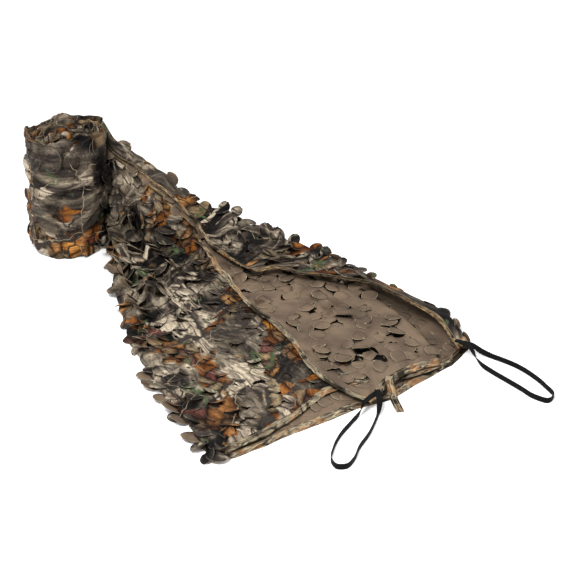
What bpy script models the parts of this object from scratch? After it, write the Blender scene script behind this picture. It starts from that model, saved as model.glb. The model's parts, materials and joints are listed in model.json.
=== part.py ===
"""Die-cut camouflage net, partly unrolled.

The net is one long sheet of thin cloth, printed on its face and plain on its back, cut with rows
of curved slits that open into leaf-shaped flaps.  It is folded lengthwise into a strip, and most
of the strip is wound into a roll that stands on end.  The loose end leaves the roll's right side,
stands on its lower edge there, and leans over until it lies on the floor, where it spreads out.

Metres, +Z up.  X runs across the free end, +Y runs from the free end back to the roll, and the
origin is on the floor under the middle of the whole.
"""
import math

import bmesh
import bpy
import numpy as np

# ---- driving sizes, metres ----
CLOTH_THICK = 0.002
BINDING_THICK = 0.0032
BINDING_WIDTH = 0.019
STITCH_GAP = 0.0006             # between the net and the tape along its edge
WEBBING_WIDTH = 0.0127
WEBBING_THICK = 0.0016

ROLL_HEIGHT = 0.326
ROLL_CENTRE = (0.334, 1.121)    # in the strip's plan, see PLAN_ORIGIN
ROLL_RADIUS = 0.112             # at the outer end of the wound band
TURN_PITCH = 0.0182             # radius lost in one turn
BAND_THICK = 0.0162             # the folded strip, wound tight
ROLL_TURNS = 3.0
ROLL_LEAN = (0.018, -0.015)     # of the roll's top, where the strip pulls on it

STRIP_LENGTH = 1.12             # of the loose end, roll to free edge
LAYER_STEP_AT_ROLL = 0.0046     # from one layer of the fold to the next
LAYER_STEP = 0.0062
FLAP_OPENING = 0.0085           # width of a slit that has opened
FLAP_LIFT = 0.010               # rise of a flap's tip where nothing lies on it
LIFTED_SHARE = 0.3              # of the slit's width that a lifted tip draws back
SLIT_WIDTHS = (0.022, 0.130)    # narrowest and widest slits that are cut
COVER_MARGIN = 0.05             # share across beside a layer's edge where flaps stay down
LOBE_REACH = 0.017              # flaps that stick out past the two outer folds
FOLD_BULGE = 0.45               # how far a fold bellies out, as a share of its height
FOLD_BULGE_LIMIT = 0.014

# The tables below are in the strip's plan: x across the free end from its left corner, y back to
# the roll.  The plan's own zero lies here in the part's frame.
PLAN_ORIGIN = (-0.3910, -0.47960)

# The loose strip, a row for each section.  run is 0 at the roll and 1 at the free end.  The left
# edge is the lower one, which lies on the floor; the right edge starts at the top of the roll and
# comes down.  fold is the height of the right-hand fold and gather the height of the ridges.
STRIP = (
    # run, left x, left y, left z, right x, right y, right z, fold, gather
    (0.00, 0.4456, 1.1205, 0.006, 0.4630, 1.1060, 0.318, 0.0150, 0.00),
    (0.06, 0.4450, 1.0520, 0.006, 0.4660, 1.0540, 0.280, 0.0170, 0.25),
    (0.13, 0.3920, 0.9750, 0.005, 0.5160, 1.0100, 0.214, 0.0230, 0.75),
    (0.22, 0.3270, 0.8700, 0.003, 0.5550, 0.9250, 0.148, 0.0320, 1.0),
    (0.34, 0.2580, 0.7450, 0.001, 0.5980, 0.8080, 0.098, 0.0390, 0.90),
    (0.47, 0.1860, 0.6000, 0.001, 0.6500, 0.6850, 0.060, 0.0430, 0.60),
    (0.60, 0.1330, 0.4700, 0.001, 0.6990, 0.5400, 0.030, 0.0450, 0.38),
    (0.72, 0.0900, 0.3450, 0.001, 0.7330, 0.4000, 0.010, 0.0450, 0.24),
    (0.84, 0.0600, 0.2100, 0.001, 0.7500, 0.2400, 0.001, 0.0370, 0.15),
    (0.93, 0.0300, 0.1000, 0.001, 0.7600, 0.1150, 0.001, 0.0270, 0.10),
    (1.00, 0.0020, 0.0000, 0.001, 0.7080, 0.0000, 0.001, 0.0190, 0.08),
)
LEFT, RIGHT, FOLD, GATHER = (1, 2, 3), (4, 5, 6), 7, 8

# Where the two long edges of the net and the inner fold lie, as a share of the way from the left
# edge (0) to the right edge (1).
EDGES = (
    # run, brown layer's free edge, inner fold, right flap's free edge
    (0.00, 0.860, 0.965, 0.900),
    (0.20, 0.860, 0.965, 0.900),
    (0.30, 0.850, 0.970, 0.890),
    (0.36, 0.770, 0.970, 0.815),
    (0.42, 0.695, 0.970, 0.740),
    (0.48, 0.640, 0.968, 0.705),
    (0.54, 0.590, 0.965, 0.700),
    (0.60, 0.550, 0.960, 0.775),
    (0.66, 0.535, 0.955, 0.800),
    (0.72, 0.528, 0.950, 0.880),
    (0.78, 0.515, 0.935, 0.935),
    (0.84, 0.480, 0.915, 0.945),
    (0.90, 0.440, 0.885, 0.945),
    (0.95, 0.448, 0.860, 0.945),
    (1.00, 0.515, 0.845, 0.945),
)
BROWN_EDGE, INNER_FOLD, FLAP_EDGE = 1, 2, 3

# How far each layer's end reaches past (-) or stops short of (+) the straight line between the
# two front corners, metres, against the share of the way across.
END_SHIFTS = {
    0: ((0.0, 0.0), (0.06, -0.016), (0.33, -0.022), (0.50, -0.031), (0.60, -0.047),
        (0.72, -0.036), (0.90, -0.026), (1.0, 0.0)),
    1: ((0.0, -0.002), (0.18, 0.0), (0.28, 0.010), (0.37, 0.034), (0.46, 0.046), (0.52, 0.040),
        (0.60, 0.015), (0.70, -0.012), (0.80, -0.022), (0.85, -0.025)),
    2: ((0.50, -0.056), (0.56, -0.043), (0.63, -0.014), (0.72, -0.008), (0.80, -0.012),
        (0.85, -0.025)),
    3: ((0.90, -0.018), (1.0, 0.0)),
}
END_SHIFT_FROM = 0.84           # the run where the layers' ends start to differ

# Ridges of gathered cloth that run from the roll towards the free end.
RIDGES = (
    # share across at the roll, share across at the end, height, half width, dies out at run
    (0.06, 0.03, 0.024, 0.070, 0.98),
    (0.25, 0.18, 0.040, 0.075, 0.82),
    (0.46, 0.40, 0.034, 0.068, 0.70),
    (0.66, 0.58, 0.026, 0.060, 0.54),
    (0.34, 0.33, 0.006, 0.120, 1.40),
    (0.72, 0.74, 0.005, 0.110, 1.40),
)

# The folded strip from the net's one long edge to the other: a layer at a level of the stack
# between two shares across, or a turn from one level to another at a share.
LAYERS = (
    # kind, level(s), from, to, columns
    ("layer", 2, BROWN_EDGE, INNER_FOLD, 9),
    ("turn", (2, 1), INNER_FOLD, 1, 3),
    ("layer", 1, INNER_FOLD, "left", 20),
    ("turn", (1, 0), "left", -1, 3),
    ("layer", 0, "left", "right", 12),
    ("turn", (0, 3), "right", 1, 4),
    ("layer", 3, "right", FLAP_EDGE, 5),
)
STRIP_ROWS = 42
ROLL_ROWS = 5
ROLL_STEPS_PER_TURN = 28

# Webbing loops, sewn to the two corners of the free end: they leave the corner flat and then
# stand on edge on the floor.
LOOPS = {
    "loop_left": (
        # x, y, height of the middle, how far it stands on edge (0 flat, 1 upright)
        (0.406, -0.028, 0.0203, 0.0),
        (0.386, -0.033, 0.0204, 0.0),
        (0.366, -0.039, 0.0209, 0.05),
        (0.357, -0.043, 0.0222, 0.15),
        (0.346, -0.048, 0.0178, 0.45),
        (0.336, -0.052, 0.0110, 0.8),
        (0.296, -0.068, 0.0069, 1.0),
        (0.246, -0.090, 0.0069, 1.0),
        (0.200, -0.120, 0.0069, 1.0),
        (0.170, -0.150, 0.0069, 1.0),
        (0.166, -0.170, 0.0069, 1.0),
        (0.181, -0.181, 0.0069, 1.0),
        (0.204, -0.174, 0.0069, 1.0),
        (0.244, -0.148, 0.0069, 1.0),
        (0.292, -0.124, 0.0069, 1.0),
        (0.330, -0.100, 0.0069, 1.0),
        (0.352, -0.085, 0.0085, 0.9),
        (0.368, -0.073, 0.0150, 0.5),
        (0.382, -0.060, 0.0222, 0.1),
        (0.396, -0.041, 0.0228, 0.0),
        (0.409, -0.024, 0.0226, 0.0),
    ),
    "loop_right": (
        (0.690, 0.018, 0.0288, 0.0),
        (0.699, 0.000, 0.0280, 0.0),
        (0.707, -0.014, 0.0265, 0.05),
        (0.718, -0.036, 0.0140, 0.6),
        (0.727, -0.058, 0.0080, 0.95),
        (0.733, -0.084, 0.0069, 1.0),
        (0.737, -0.124, 0.0069, 1.0),
        (0.731, -0.176, 0.0069, 1.0),
        (0.716, -0.226, 0.0069, 1.0),
        (0.697, -0.263, 0.0069, 1.0),
        (0.674, -0.268, 0.0069, 1.0),
        (0.664, -0.240, 0.0069, 1.0),
        (0.668, -0.196, 0.0069, 1.0),
        (0.672, -0.150, 0.0069, 1.0),
        (0.676, -0.104, 0.0069, 1.0),
        (0.680, -0.074, 0.0080, 0.95),
        (0.684, -0.052, 0.0145, 0.6),
        (0.688, -0.034, 0.0280, 0.1),
        (0.690, -0.012, 0.0306, 0.0),
        (0.692, 0.006, 0.0312, 0.0),
    ),
}
LOOP_STEPS = 48

# The spare end of the binding tape, past the left corner of the brown layer.
TAIL = (
    # x, y, height, quarter turns about its own length
    (0.470, 0.004, 0.0205, 0.0),
    (0.460, -0.006, 0.0207, 0.0),
    (0.448, -0.022, 0.0212, 0.0),
    (0.438, -0.038, 0.0165, 0.0),
    (0.428, -0.056, 0.0070, 0.0),
    (0.418, -0.076, 0.0040, 0.0),
    (0.408, -0.096, 0.0020, 0.0),
)
TAIL_STEPS = 10


def remove_everything():
    for old in list(bpy.data.objects):
        bpy.data.objects.remove(old, do_unlink=True)


def make_collection(name):
    collection = bpy.data.collections.new(name)
    bpy.context.scene.collection.children.link(collection)
    return collection


def cloth_material(name, colour, roughness):
    material = bpy.data.materials.new(name)
    material.use_nodes = True
    shader = material.node_tree.nodes["Principled BSDF"]
    shader.inputs["Base Color"].default_value = (*colour, 1.0)
    shader.inputs["Roughness"].default_value = roughness
    shader.inputs["Metallic"].default_value = 0.0
    return material


# ---- the folded strip as a surface ----

def smooth(rows, column, where):
    """A column of a table on a smooth curve through its rows, at each place in where."""
    places = np.array([row[0] for row in rows])
    values = np.array([row[column] for row in rows])
    slopes = np.gradient(values, places)
    where = np.clip(np.asarray(where, float), places[0], places[-1])
    k = np.clip(np.searchsorted(places, where, side="right") - 1, 0, len(places) - 2)
    span = places[k + 1] - places[k]
    f = (where - places[k]) / span
    start = (1 + 2 * f) * (1 - f) ** 2 * values[k] + f * (1 - f) ** 2 * span * slopes[k]
    end = f * f * (3 - 2 * f) * values[k + 1] + f * f * (f - 1) * span * slopes[k + 1]
    return start + end


def ease(low, high, value):
    """0 below low and 1 above high, with a smooth step between."""
    f = np.clip((value - low) / (high - low), 0.0, 1.0)
    return f * f * (3 - 2 * f)


def bottom_layer(run, across):
    """The lowest layer of the strip, before its ripples."""
    left = np.stack([smooth(STRIP, c, run) for c in LEFT], -1)
    right = np.stack([smooth(STRIP, c, run) for c in RIGHT], -1)
    share = np.asarray(across, float)[..., None]
    point = left + (right - left) * share
    sag = 1.0 + 1.6 * ease(0.05, 0.60, run)
    climb = np.clip(across, 0.0, None) ** sag
    point[..., 2] = left[..., 2] + (right[..., 2] - left[..., 2]) * climb
    return point


def upward(run, across):
    """The strip's own up: towards the camera side at the roll, and straight up on the floor."""
    step = 0.002
    along = bottom_layer(run + step, across) - bottom_layer(run - step, across)
    over = bottom_layer(run, across + step) - bottom_layer(run, across - step)
    normal = np.cross(along, over)
    return normal / np.linalg.norm(normal, axis=-1, keepdims=True)


def gathers(run, across):
    """Height of the ridges that the cloth above the lowest layer is gathered into."""
    height = np.zeros(np.broadcast(run, across).shape)
    for at_roll, at_end, rise, half_width, last in RIDGES:
        middle = at_roll + (at_end - at_roll) * run + 0.018 * np.sin(9.0 * run + 40.0 * at_roll)
        bell = np.exp(-((across - middle) / half_width) ** 2)
        height = height + rise * bell * (1.0 - ease(0.55 * last, last, run))
    near_roll = smooth(STRIP, GATHER, run)
    near_end = ease(0.70, 0.95, run)
    ripple = 0.5 + 0.25 * np.sin(21.0 * run + 9.0 * across) + 0.25 * np.sin(17.0 * across - 8.0 * run)
    return height * np.maximum(near_roll, 0.0) ** 0.7 + 0.0035 * near_end * ripple


def layer_step(run):
    return LAYER_STEP_AT_ROLL + (LAYER_STEP - LAYER_STEP_AT_ROLL) * ease(0.0, 0.12, run)


def stack_height(level, run, across):
    """Height of a layer over the lowest one."""
    step = layer_step(run)
    puff = (smooth(STRIP, FOLD, run) - 3 * step) * ease(0.45, 1.0, across)
    height = level * (step + np.maximum(puff, 0.0) / 3)
    height = height + gathers(run, across) * np.clip(level, 0.0, 1.0)
    brown_curl = 0.007 * np.exp(-((across - smooth(EDGES, BROWN_EDGE, run)) / 0.055) ** 2)
    flap_curl = 0.012 * np.exp(-((across - smooth(EDGES, FLAP_EDGE, run)) / 0.065) ** 2)
    opened = ease(0.32, 0.45, run) * (1.0 - 0.8 * ease(0.84, 0.98, run))
    height = height + brown_curl * opened * np.clip(level - 1.0, 0.0, 1.0)
    return height + flap_curl * opened * np.clip(level - 2.0, 0.0, 1.0)


def end_shift(level, run, across):
    """How far a layer is pulled along the strip near its free end."""
    rows = END_SHIFTS[level]
    shift = np.interp(across, [row[0] for row in rows], [row[1] for row in rows])
    return shift * ease(END_SHIFT_FROM, 1.0, run) ** 1.5


def share_of(edge, run):
    if edge == "left":
        return np.zeros_like(run)
    if edge == "right":
        return np.ones_like(run)
    return smooth(EDGES, edge, run)


def lobes(run, count, start, end):
    """Scallops of the flaps that stick out past a fold, 0 to 1."""
    wave = np.abs(np.sin(math.pi * count * run + 0.7 * np.sin(11.0 * run)))
    return wave * ease(start, start + 0.1, run) * (1.0 - ease(end, end + 0.02, run))


def stacked(level, run, across):
    """A point of one layer, before its end is pulled out of line."""
    rise = upward(run, across) * stack_height(level, run, across)[..., None]
    return bottom_layer(run, across) + rise


def turn_point(levels, edge, side, run, f):
    """A point of the fold between two levels, f from 0 at the first to 1 at the second."""
    share = share_of(edge, run)
    low, high = (stack_height(level, run, share) for level in levels)
    angle = math.pi * f
    height = low + (high - low) * (1 - np.cos(angle)) / 2
    inner = bottom_layer(run, share - 0.004 * side)
    outwards = bottom_layer(run, share) - inner
    outwards /= np.linalg.norm(outwards, axis=-1, keepdims=True)
    belly = np.minimum(FOLD_BULGE * np.abs(high - low), FOLD_BULGE_LIMIT)
    if edge == "left":
        belly = belly + LOBE_REACH * lobes(run, 19, 0.14, 0.965)
    elif edge == "right":
        belly = belly + LOBE_REACH * lobes(run, 17, 0.10, 0.90)
    middle = bottom_layer(run, share) + outwards * (belly * np.sin(angle))[..., None]
    point = middle + upward(run, share) * height[..., None]
    shifts = [end_shift(level, run, share) for level in levels]
    point[..., 1] += shifts[0] + (shifts[1] - shifts[0]) * f
    return point


def column_count():
    return sum(row[4] for row in LAYERS)


def cloth_point(column, run):
    """The net's mid surface: column counts from one long edge to the other across all layers."""
    column, run = np.broadcast_arrays(np.asarray(column, float), np.asarray(run, float))
    point = np.zeros(column.shape + (3,))
    first = 0
    for kind, level, start, stop, columns in LAYERS:
        last = first + columns
        inside = (column >= first) & (column <= last)
        first = last
        if not inside.any():
            continue
        f = (column[inside] - (last - columns)) / columns
        r = run[inside]
        if kind == "turn":
            point[inside] = turn_point(level, start, stop, r, f)
            continue
        across = share_of(start, r) + (share_of(stop, r) - share_of(start, r)) * f
        place = stacked(level, r, across)
        place[..., 1] += end_shift(level, r, across)
        point[inside] = place
    point[..., 2] = np.maximum(point[..., 2], CLOTH_THICK / 2)
    point[..., 0] += PLAN_ORIGIN[0]
    point[..., 1] += PLAN_ORIGIN[1]
    return point


def column_inset(column_from, step, run, distance):
    """The column that lies a distance in from a long edge, at each place along the run."""
    tries = column_from + step * np.linspace(0.0, 8.5, 171)
    columns = []
    for r in np.atleast_1d(run):
        points = cloth_point(tries, np.full_like(tries, r))
        lengths = np.concatenate([[0.0], np.cumsum(np.linalg.norm(np.diff(points, axis=0), axis=1))])
        columns.append(np.interp(distance, lengths, tries))
    return np.array(columns)


# ---- meshes ----

def add_wall(thing, thickness):
    wall = thing.modifiers.new("cloth thickness", "SOLIDIFY")
    wall.thickness = thickness
    wall.offset = 0.0
    wall.use_rim = True


def grid_mesh(columns, rows, slits=()):
    """A flat grid whose points stand at whole numbers of columns and rows, cut at its slits.

    A slit is named by its middle point, and reaches one column to each side of it.
    """
    shape = bmesh.new()
    bmesh.ops.create_grid(shape, x_segments=columns, y_segments=rows, size=1.0)
    for point in shape.verts:
        point.co.x = round((point.co.x + 1.0) / 2.0 * columns)
        point.co.y = round((point.co.y + 1.0) / 2.0 * rows)
    places = {(int(point.co.x), int(point.co.y)): point for point in shape.verts}
    cuts = []
    for column, row in slits:
        for side in (-1, 1):
            cuts.append(shape.edges.get((places[column, row], places[column + side, row])))
    if cuts:
        bmesh.ops.split_edges(shape, edges=cuts)
    return shape


def object_from(name, shape, material, collection):
    mesh = bpy.data.meshes.new(name)
    shape.to_mesh(mesh)
    shape.free()
    mesh.materials.append(material)
    thing = bpy.data.objects.new(name, mesh)
    collection.objects.link(thing)
    mesh.shade_smooth()
    return thing


def slit_levels(rows):
    """The middle of each slit that is cut, staggered from row to row, and its layer's level."""
    slits = {}
    first = 0
    for kind, level, start, stop, columns in LAYERS:
        last = first + columns
        if kind == "layer":
            pitch = 4 if level == 0 else 3
            for row in range(3, rows - 2, 2):
                stagger = row // 2 % 2 * 2 if level == 0 else row // 2 * 2 % pitch
                for column in range(first + 2 + stagger, last - 1, pitch):
                    if wide_enough(column, row / rows):
                        slits[column, row] = level
        first = last
    return slits


def wide_enough(column, run):
    """A slit is cut only where the cloth isn't gathered too tight to show it."""
    points = cloth_point(np.array([column - 1, column, column + 1]), np.full(3, run))
    width = np.linalg.norm(points[2] - points[0])
    return SLIT_WIDTHS[0] < width < SLIT_WIDTHS[1]


def is_covered(level, column, run):
    """Whether another layer lies on this place."""
    run = np.array([run])
    here = cloth_point([column], run)[0][:2] - np.array(PLAN_ORIGIN)
    left = bottom_layer(run, np.array([0.0]))[0][:2]
    right = bottom_layer(run, np.array([1.0]))[0][:2]
    across = np.dot(here - left, right - left) / np.dot(right - left, right - left)
    over_it = {1: BROWN_EDGE, 2: FLAP_EDGE}
    if level in over_it:
        return across > smooth(EDGES, over_it[level], run)[0] - COVER_MARGIN
    return level == 0


def sheet_runs():
    """Where the rows of the loose sheet lie: the tape on the free end starts past the last."""
    return np.linspace(0.0, 1.0 - (BINDING_WIDTH + STITCH_GAP) / STRIP_LENGTH, STRIP_ROWS + 1)


def sheet_columns(runs):
    """The grid's columns at each run, drawn in from the tape along both long edges."""
    count = column_count()
    column = np.arange(count + 1.0)
    margin = BINDING_WIDTH + STITCH_GAP
    start = column_inset(0.0, 1.0, runs, margin)[:, None]
    stop = column_inset(float(count), -1.0, runs, margin)[:, None]
    first_layer, last_layer = LAYERS[0][4], LAYERS[-1][4]
    pull_in = start * np.clip(1.0 - column / first_layer, 0.0, 1.0)
    pull_back = (count - stop) * np.clip(1.0 - (count - column) / last_layer, 0.0, 1.0)
    return column + pull_in - pull_back


def opened(point, level, column, run):
    """Shift along the strip and rise of the middle of a slit, on the side the point is on."""
    middle = sum(face.calc_center_median().y for face in point.link_faces)
    if middle / len(point.link_faces) > point.co.y:
        return FLAP_OPENING / 2, 0.0
    if is_covered(level, column, run):
        return -FLAP_OPENING / 2, 0.0
    return -FLAP_OPENING * LIFTED_SHARE, FLAP_LIFT


def net_sheet(collection, material):
    """The loose end of the net as one closed, slit and folded sheet."""
    slits = slit_levels(STRIP_ROWS)
    shape = grid_mesh(column_count(), STRIP_ROWS, slits)
    columns, rows, shifts, lifts = [], [], [], []
    for point in shape.verts:
        column, row = round(point.co.x), round(point.co.y)
        shift, lift = 0.0, 0.0
        if (column, row) in slits:
            shift, lift = opened(point, slits[column, row], column, row / STRIP_ROWS)
        columns.append(column)
        rows.append(row)
        shifts.append(shift)
        lifts.append(lift)
    runs = sheet_runs()
    places = cloth_point(
        sheet_columns(runs)[rows, columns],
        runs[rows] + np.array(shifts) / STRIP_LENGTH,
    )
    places[:, 2] += lifts
    for point, place in zip(shape.verts, places):
        point.co = place
    thing = object_from("net_sheet", shape, material, collection)
    add_wall(thing, CLOTH_THICK)


def strip_of_cloth(name, columns, runs, material, collection):
    """A band of tape that follows the folded cloth: columns has a row of columns for each run."""
    shape = grid_mesh(columns.shape[1] - 1, len(runs) - 1)
    for point in shape.verts:
        column, row = round(point.co.x), round(point.co.y)
        point.co = cloth_point([columns[row, column]], [runs[row]])[0]
        point.co.z = max(point.co.z, BINDING_THICK / 2)
    thing = object_from(name, shape, material, collection)
    add_wall(thing, BINDING_THICK)


def side_bindings(collection, material):
    """Binding tape along the net's two long edges."""
    runs = np.append(sheet_runs(), 1.0)
    last = float(column_count())
    for name, edge, step in (("left", 0.0, 1.0), ("right", last, -1.0)):
        inner = column_inset(edge, step, runs, BINDING_WIDTH)
        outer = np.full_like(inner, edge)
        columns = np.sort(np.stack([inner, outer], -1), axis=-1)
        strip_of_cloth("side_binding_" + name, columns, runs, material, collection)


def end_binding(collection, material):
    """Binding tape along the free end, folded back and forth with the layers."""
    runs = np.array([1.0 - BINDING_WIDTH / STRIP_LENGTH, 1.0])
    strip_of_cloth("end_binding", sheet_columns(runs), runs, material, collection)


def route_points(rows, steps):
    """Evenly spaced points on a smooth curve through a route's rows, with its last column."""
    rows = np.array(rows, float)
    lengths = np.concatenate([[0.0], np.cumsum(np.linalg.norm(np.diff(rows[:, :3], axis=0), axis=1))])
    table = np.column_stack([lengths, rows])
    where = np.linspace(0.0, lengths[-1], steps + 1)
    return np.stack([smooth(table, c, where) for c in range(1, 5)], -1)


def tape_along(name, rows, steps, width, thickness, material, collection):
    """A flat tape along a route, turned about its own length from flat (0) to on edge (1)."""
    route = route_points(rows, steps)
    ahead = np.gradient(route[:, :3], axis=0)
    ahead /= np.linalg.norm(ahead, axis=1, keepdims=True)
    up = np.array([0.0, 0.0, 1.0])
    side = np.cross(up, ahead)
    side /= np.linalg.norm(side, axis=1, keepdims=True)
    lifted = np.cross(ahead, side)
    turn = route[:, 3:4] * math.pi / 2
    wide = side * np.cos(turn) + lifted * np.sin(turn)
    shape = grid_mesh(1, steps)
    for point in shape.verts:
        column, row = int(round(point.co.x)), int(round(point.co.y))
        place = route[row, :3] + wide[row] * width * (column - 0.5)
        point.co = (place[0] + PLAN_ORIGIN[0], place[1] + PLAN_ORIGIN[1], place[2])
    thing = object_from(name, shape, material, collection)
    add_wall(thing, thickness)


def roll_top(angle, turn):
    """Height of the roll's uneven upper rim."""
    wave = 0.005 * np.sin(2 * angle + 0.6) + 0.004 * np.sin(5 * angle + 1.9) + 0.003 * np.sin(9 * angle)
    return ROLL_HEIGHT + wave + 0.0035 * np.minimum(turn, 2.0) - 0.007


def roll_dent(angle, height):
    """Shallow hollows and swellings that every turn of the roll shares."""
    level = height / ROLL_HEIGHT
    waist = 0.0022 * np.cos(2 * math.pi * level) + 0.0010 * np.sin(9.0 * level + 2 * angle)
    lumps = 0.0014 * np.sin(3 * angle + 4.0 * level) + 0.0008 * np.sin(7 * angle - 5.0 * level)
    return (waist + lumps) * (1 - math.cos(angle)) / 2


def roll_point(step, row, depth):
    """A point of the wound band: depth is how far it is inside the band's outer face."""
    angle = 2 * math.pi * step / ROLL_STEPS_PER_TURN
    turn = angle / (2 * math.pi)
    height = float(roll_top(angle, turn)) * row / ROLL_ROWS
    radius = ROLL_RADIUS - TURN_PITCH * turn + float(roll_dent(angle, height)) - depth
    lean = height / ROLL_HEIGHT
    return (
        PLAN_ORIGIN[0] + ROLL_CENTRE[0] + ROLL_LEAN[0] * lean + radius * math.cos(angle),
        PLAN_ORIGIN[1] + ROLL_CENTRE[1] + ROLL_LEAN[1] * lean + radius * math.sin(angle),
        height,
    )


def net_roll(collection, material):
    """The wound part: the folded strip as one band in a spiral, standing on end."""
    steps = round(ROLL_STEPS_PER_TURN * ROLL_TURNS)
    shape = grid_mesh(steps, ROLL_ROWS)
    outer = list(shape.verts)
    copied = bmesh.ops.duplicate(shape, geom=shape.verts[:] + shape.edges[:] + shape.faces[:])
    inner = [g for g in copied["geom"] if isinstance(g, bmesh.types.BMVert)]
    inner_faces = [g for g in copied["geom"] if isinstance(g, bmesh.types.BMFace)]
    for points, depth in ((outer, 0.0), (inner, BAND_THICK)):
        for point in points:
            point.co = roll_point(point.co.x, point.co.y, depth)
    bmesh.ops.reverse_faces(shape, faces=inner_faces)
    rims = [edge for edge in shape.edges if edge.is_boundary]
    bmesh.ops.bridge_loops(shape, edges=rims)
    object_from("net_roll", shape, material, collection)


def main():
    remove_everything()
    parts = make_collection("camouflage_net")
    printed = cloth_material("printed_net_cloth", (0.13, 0.11, 0.085), 0.85)
    wound = cloth_material("wound_net_cloth", (0.10, 0.09, 0.075), 0.85)
    tape = cloth_material("binding_tape", (0.24, 0.15, 0.08), 0.8)
    webbing = cloth_material("black_webbing", (0.012, 0.012, 0.013), 0.6)
    net_roll(parts, wound)
    net_sheet(parts, printed)
    side_bindings(parts, tape)
    end_binding(parts, tape)
    tape_along("binding_tail", TAIL, TAIL_STEPS, BINDING_WIDTH, BINDING_THICK, tape, parts)
    for name, rows in LOOPS.items():
        tape_along(name, rows, LOOP_STEPS, WEBBING_WIDTH, WEBBING_THICK, webbing, parts)


main()
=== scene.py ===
import json
import math
import random

import bmesh
import bpy
import numpy as np
from mathutils import Matrix, Vector, noise

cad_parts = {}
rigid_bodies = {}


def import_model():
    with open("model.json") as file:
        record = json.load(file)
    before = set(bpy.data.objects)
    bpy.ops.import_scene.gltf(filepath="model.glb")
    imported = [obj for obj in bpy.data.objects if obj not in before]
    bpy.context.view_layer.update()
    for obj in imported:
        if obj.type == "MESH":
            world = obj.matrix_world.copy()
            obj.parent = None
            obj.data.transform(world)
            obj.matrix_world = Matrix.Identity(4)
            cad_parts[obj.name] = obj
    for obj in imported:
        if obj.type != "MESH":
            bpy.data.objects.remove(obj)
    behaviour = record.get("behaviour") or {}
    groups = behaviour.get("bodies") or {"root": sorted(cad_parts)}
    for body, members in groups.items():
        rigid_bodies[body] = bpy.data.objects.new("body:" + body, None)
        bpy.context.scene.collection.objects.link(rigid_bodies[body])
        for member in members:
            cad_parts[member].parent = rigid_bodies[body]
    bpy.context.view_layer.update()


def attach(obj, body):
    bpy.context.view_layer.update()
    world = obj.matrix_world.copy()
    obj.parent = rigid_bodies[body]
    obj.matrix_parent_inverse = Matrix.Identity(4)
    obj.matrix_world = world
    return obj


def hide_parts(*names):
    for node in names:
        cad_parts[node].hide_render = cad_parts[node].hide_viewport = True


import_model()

# ---- sizes, metres ----
CLOTH_THICK = 0.0005            # of the drawn cloth; its solid is thicker
LAID_HALF = 0.001               # the solid's half thickness, on which the layers are laid
FLOOR_GAP = 0.0002              # under what lies on the floor
TAPE_WIDTH = 0.0165
TAPE_THICK = 0.0018
WEBBING_WIDTH = 0.0127
WEBBING_THICK = 0.0013
STRIP_LENGTH = 1.12             # of the loose end, from the roll to its free edge
LAYER_STEP_AT_ROLL = 0.0046     # from one layer of the folded strip to the next
LAYER_STEP = 0.0062
LOBE_REACH = 0.004              # of the flaps that stick out past a fold
FOLD_BULGE = 0.45               # of a fold, as a share of the height it closes
FOLD_BULGE_LIMIT = 0.014
LEAF_LENGTH = 0.034             # of a die-cut flap, root to tip
LEAF_WIDE = 1.08                # its width, as a share of that length
LEAF_BELLY = 0.38               # where it is widest
LEAF_LOWER = 0.575              # reach of the rounding below there
LEAF_PITCH = (0.0425, 0.0405)   # from one flap to the next, across and along the net

STITCH_PITCH = 0.0045
STITCH = (0.0007, 0.0030, 0.0006)
THREAD_LIFT = 0.0001            # of a stitch's middle over the tape

ROLL_HEIGHT = 0.326
ROLL_CENTRE = (0.334, 1.121)
ROLL_RADIUS = 0.1125
ROLL_LEAN = (0.018, -0.015)     # of its top from its foot
ROLL_TURNS = 4.9
TURN_PITCH = 0.0112
BAND_THICK = 0.0085
ROLL_PRINT = (2.293, 1.265)     # where its print starts, beside that of the loose end

DULL_GLOSS = 0.08               # of every material here: cloth, tape, webbing and thread

# where the two loops and the tail are sewn on
SEWN_ENDS = ((0.015, -0.504), (0.299, -0.475), (0.079, -0.476))

# The tables below are in the strip's plan: x across the free end from its left corner, y back to
# the roll.  The plan's own zero lies here in the part's frame.
PLAN_ORIGIN = (-0.3910, -0.47960)

# The loose strip, a row for each section.  run is 0 at the roll and 1 at the free end.  The left
# edge is the lower one, which lies on the floor; the right edge starts at the top of the roll and
# comes down.  fold is the height of the right-hand fold and gather the height of the ridges.
STRIP = (
    # run, left x, left y, left z, right x, right y, right z, fold, gather
    (0.00, 0.4456, 1.1205, 0.006, 0.4630, 1.1060, 0.318, 0.0150, 0.00),
    (0.06, 0.4450, 1.0520, 0.006, 0.4660, 1.0540, 0.280, 0.0170, 0.25),
    (0.13, 0.3920, 0.9750, 0.005, 0.5160, 1.0100, 0.214, 0.0230, 0.75),
    (0.22, 0.3270, 0.8700, 0.003, 0.5550, 0.9250, 0.148, 0.0320, 1.0),
    (0.34, 0.2580, 0.7450, 0.001, 0.5980, 0.8080, 0.098, 0.0390, 0.90),
    (0.47, 0.1860, 0.6000, 0.001, 0.6500, 0.6850, 0.060, 0.0430, 0.60),
    (0.60, 0.1330, 0.4700, 0.001, 0.6990, 0.5400, 0.030, 0.0450, 0.38),
    (0.72, 0.0900, 0.3450, 0.001, 0.7330, 0.4000, 0.010, 0.0450, 0.24),
    (0.84, 0.0600, 0.2100, 0.001, 0.7500, 0.2400, 0.001, 0.0370, 0.15),
    (0.93, 0.0300, 0.1000, 0.001, 0.7600, 0.1150, 0.001, 0.0270, 0.10),
    (1.00, 0.0020, 0.0000, 0.001, 0.7080, 0.0000, 0.001, 0.0190, 0.08),
)
LEFT, RIGHT, FOLD, GATHER = (1, 2, 3), (4, 5, 6), 7, 8

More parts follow.
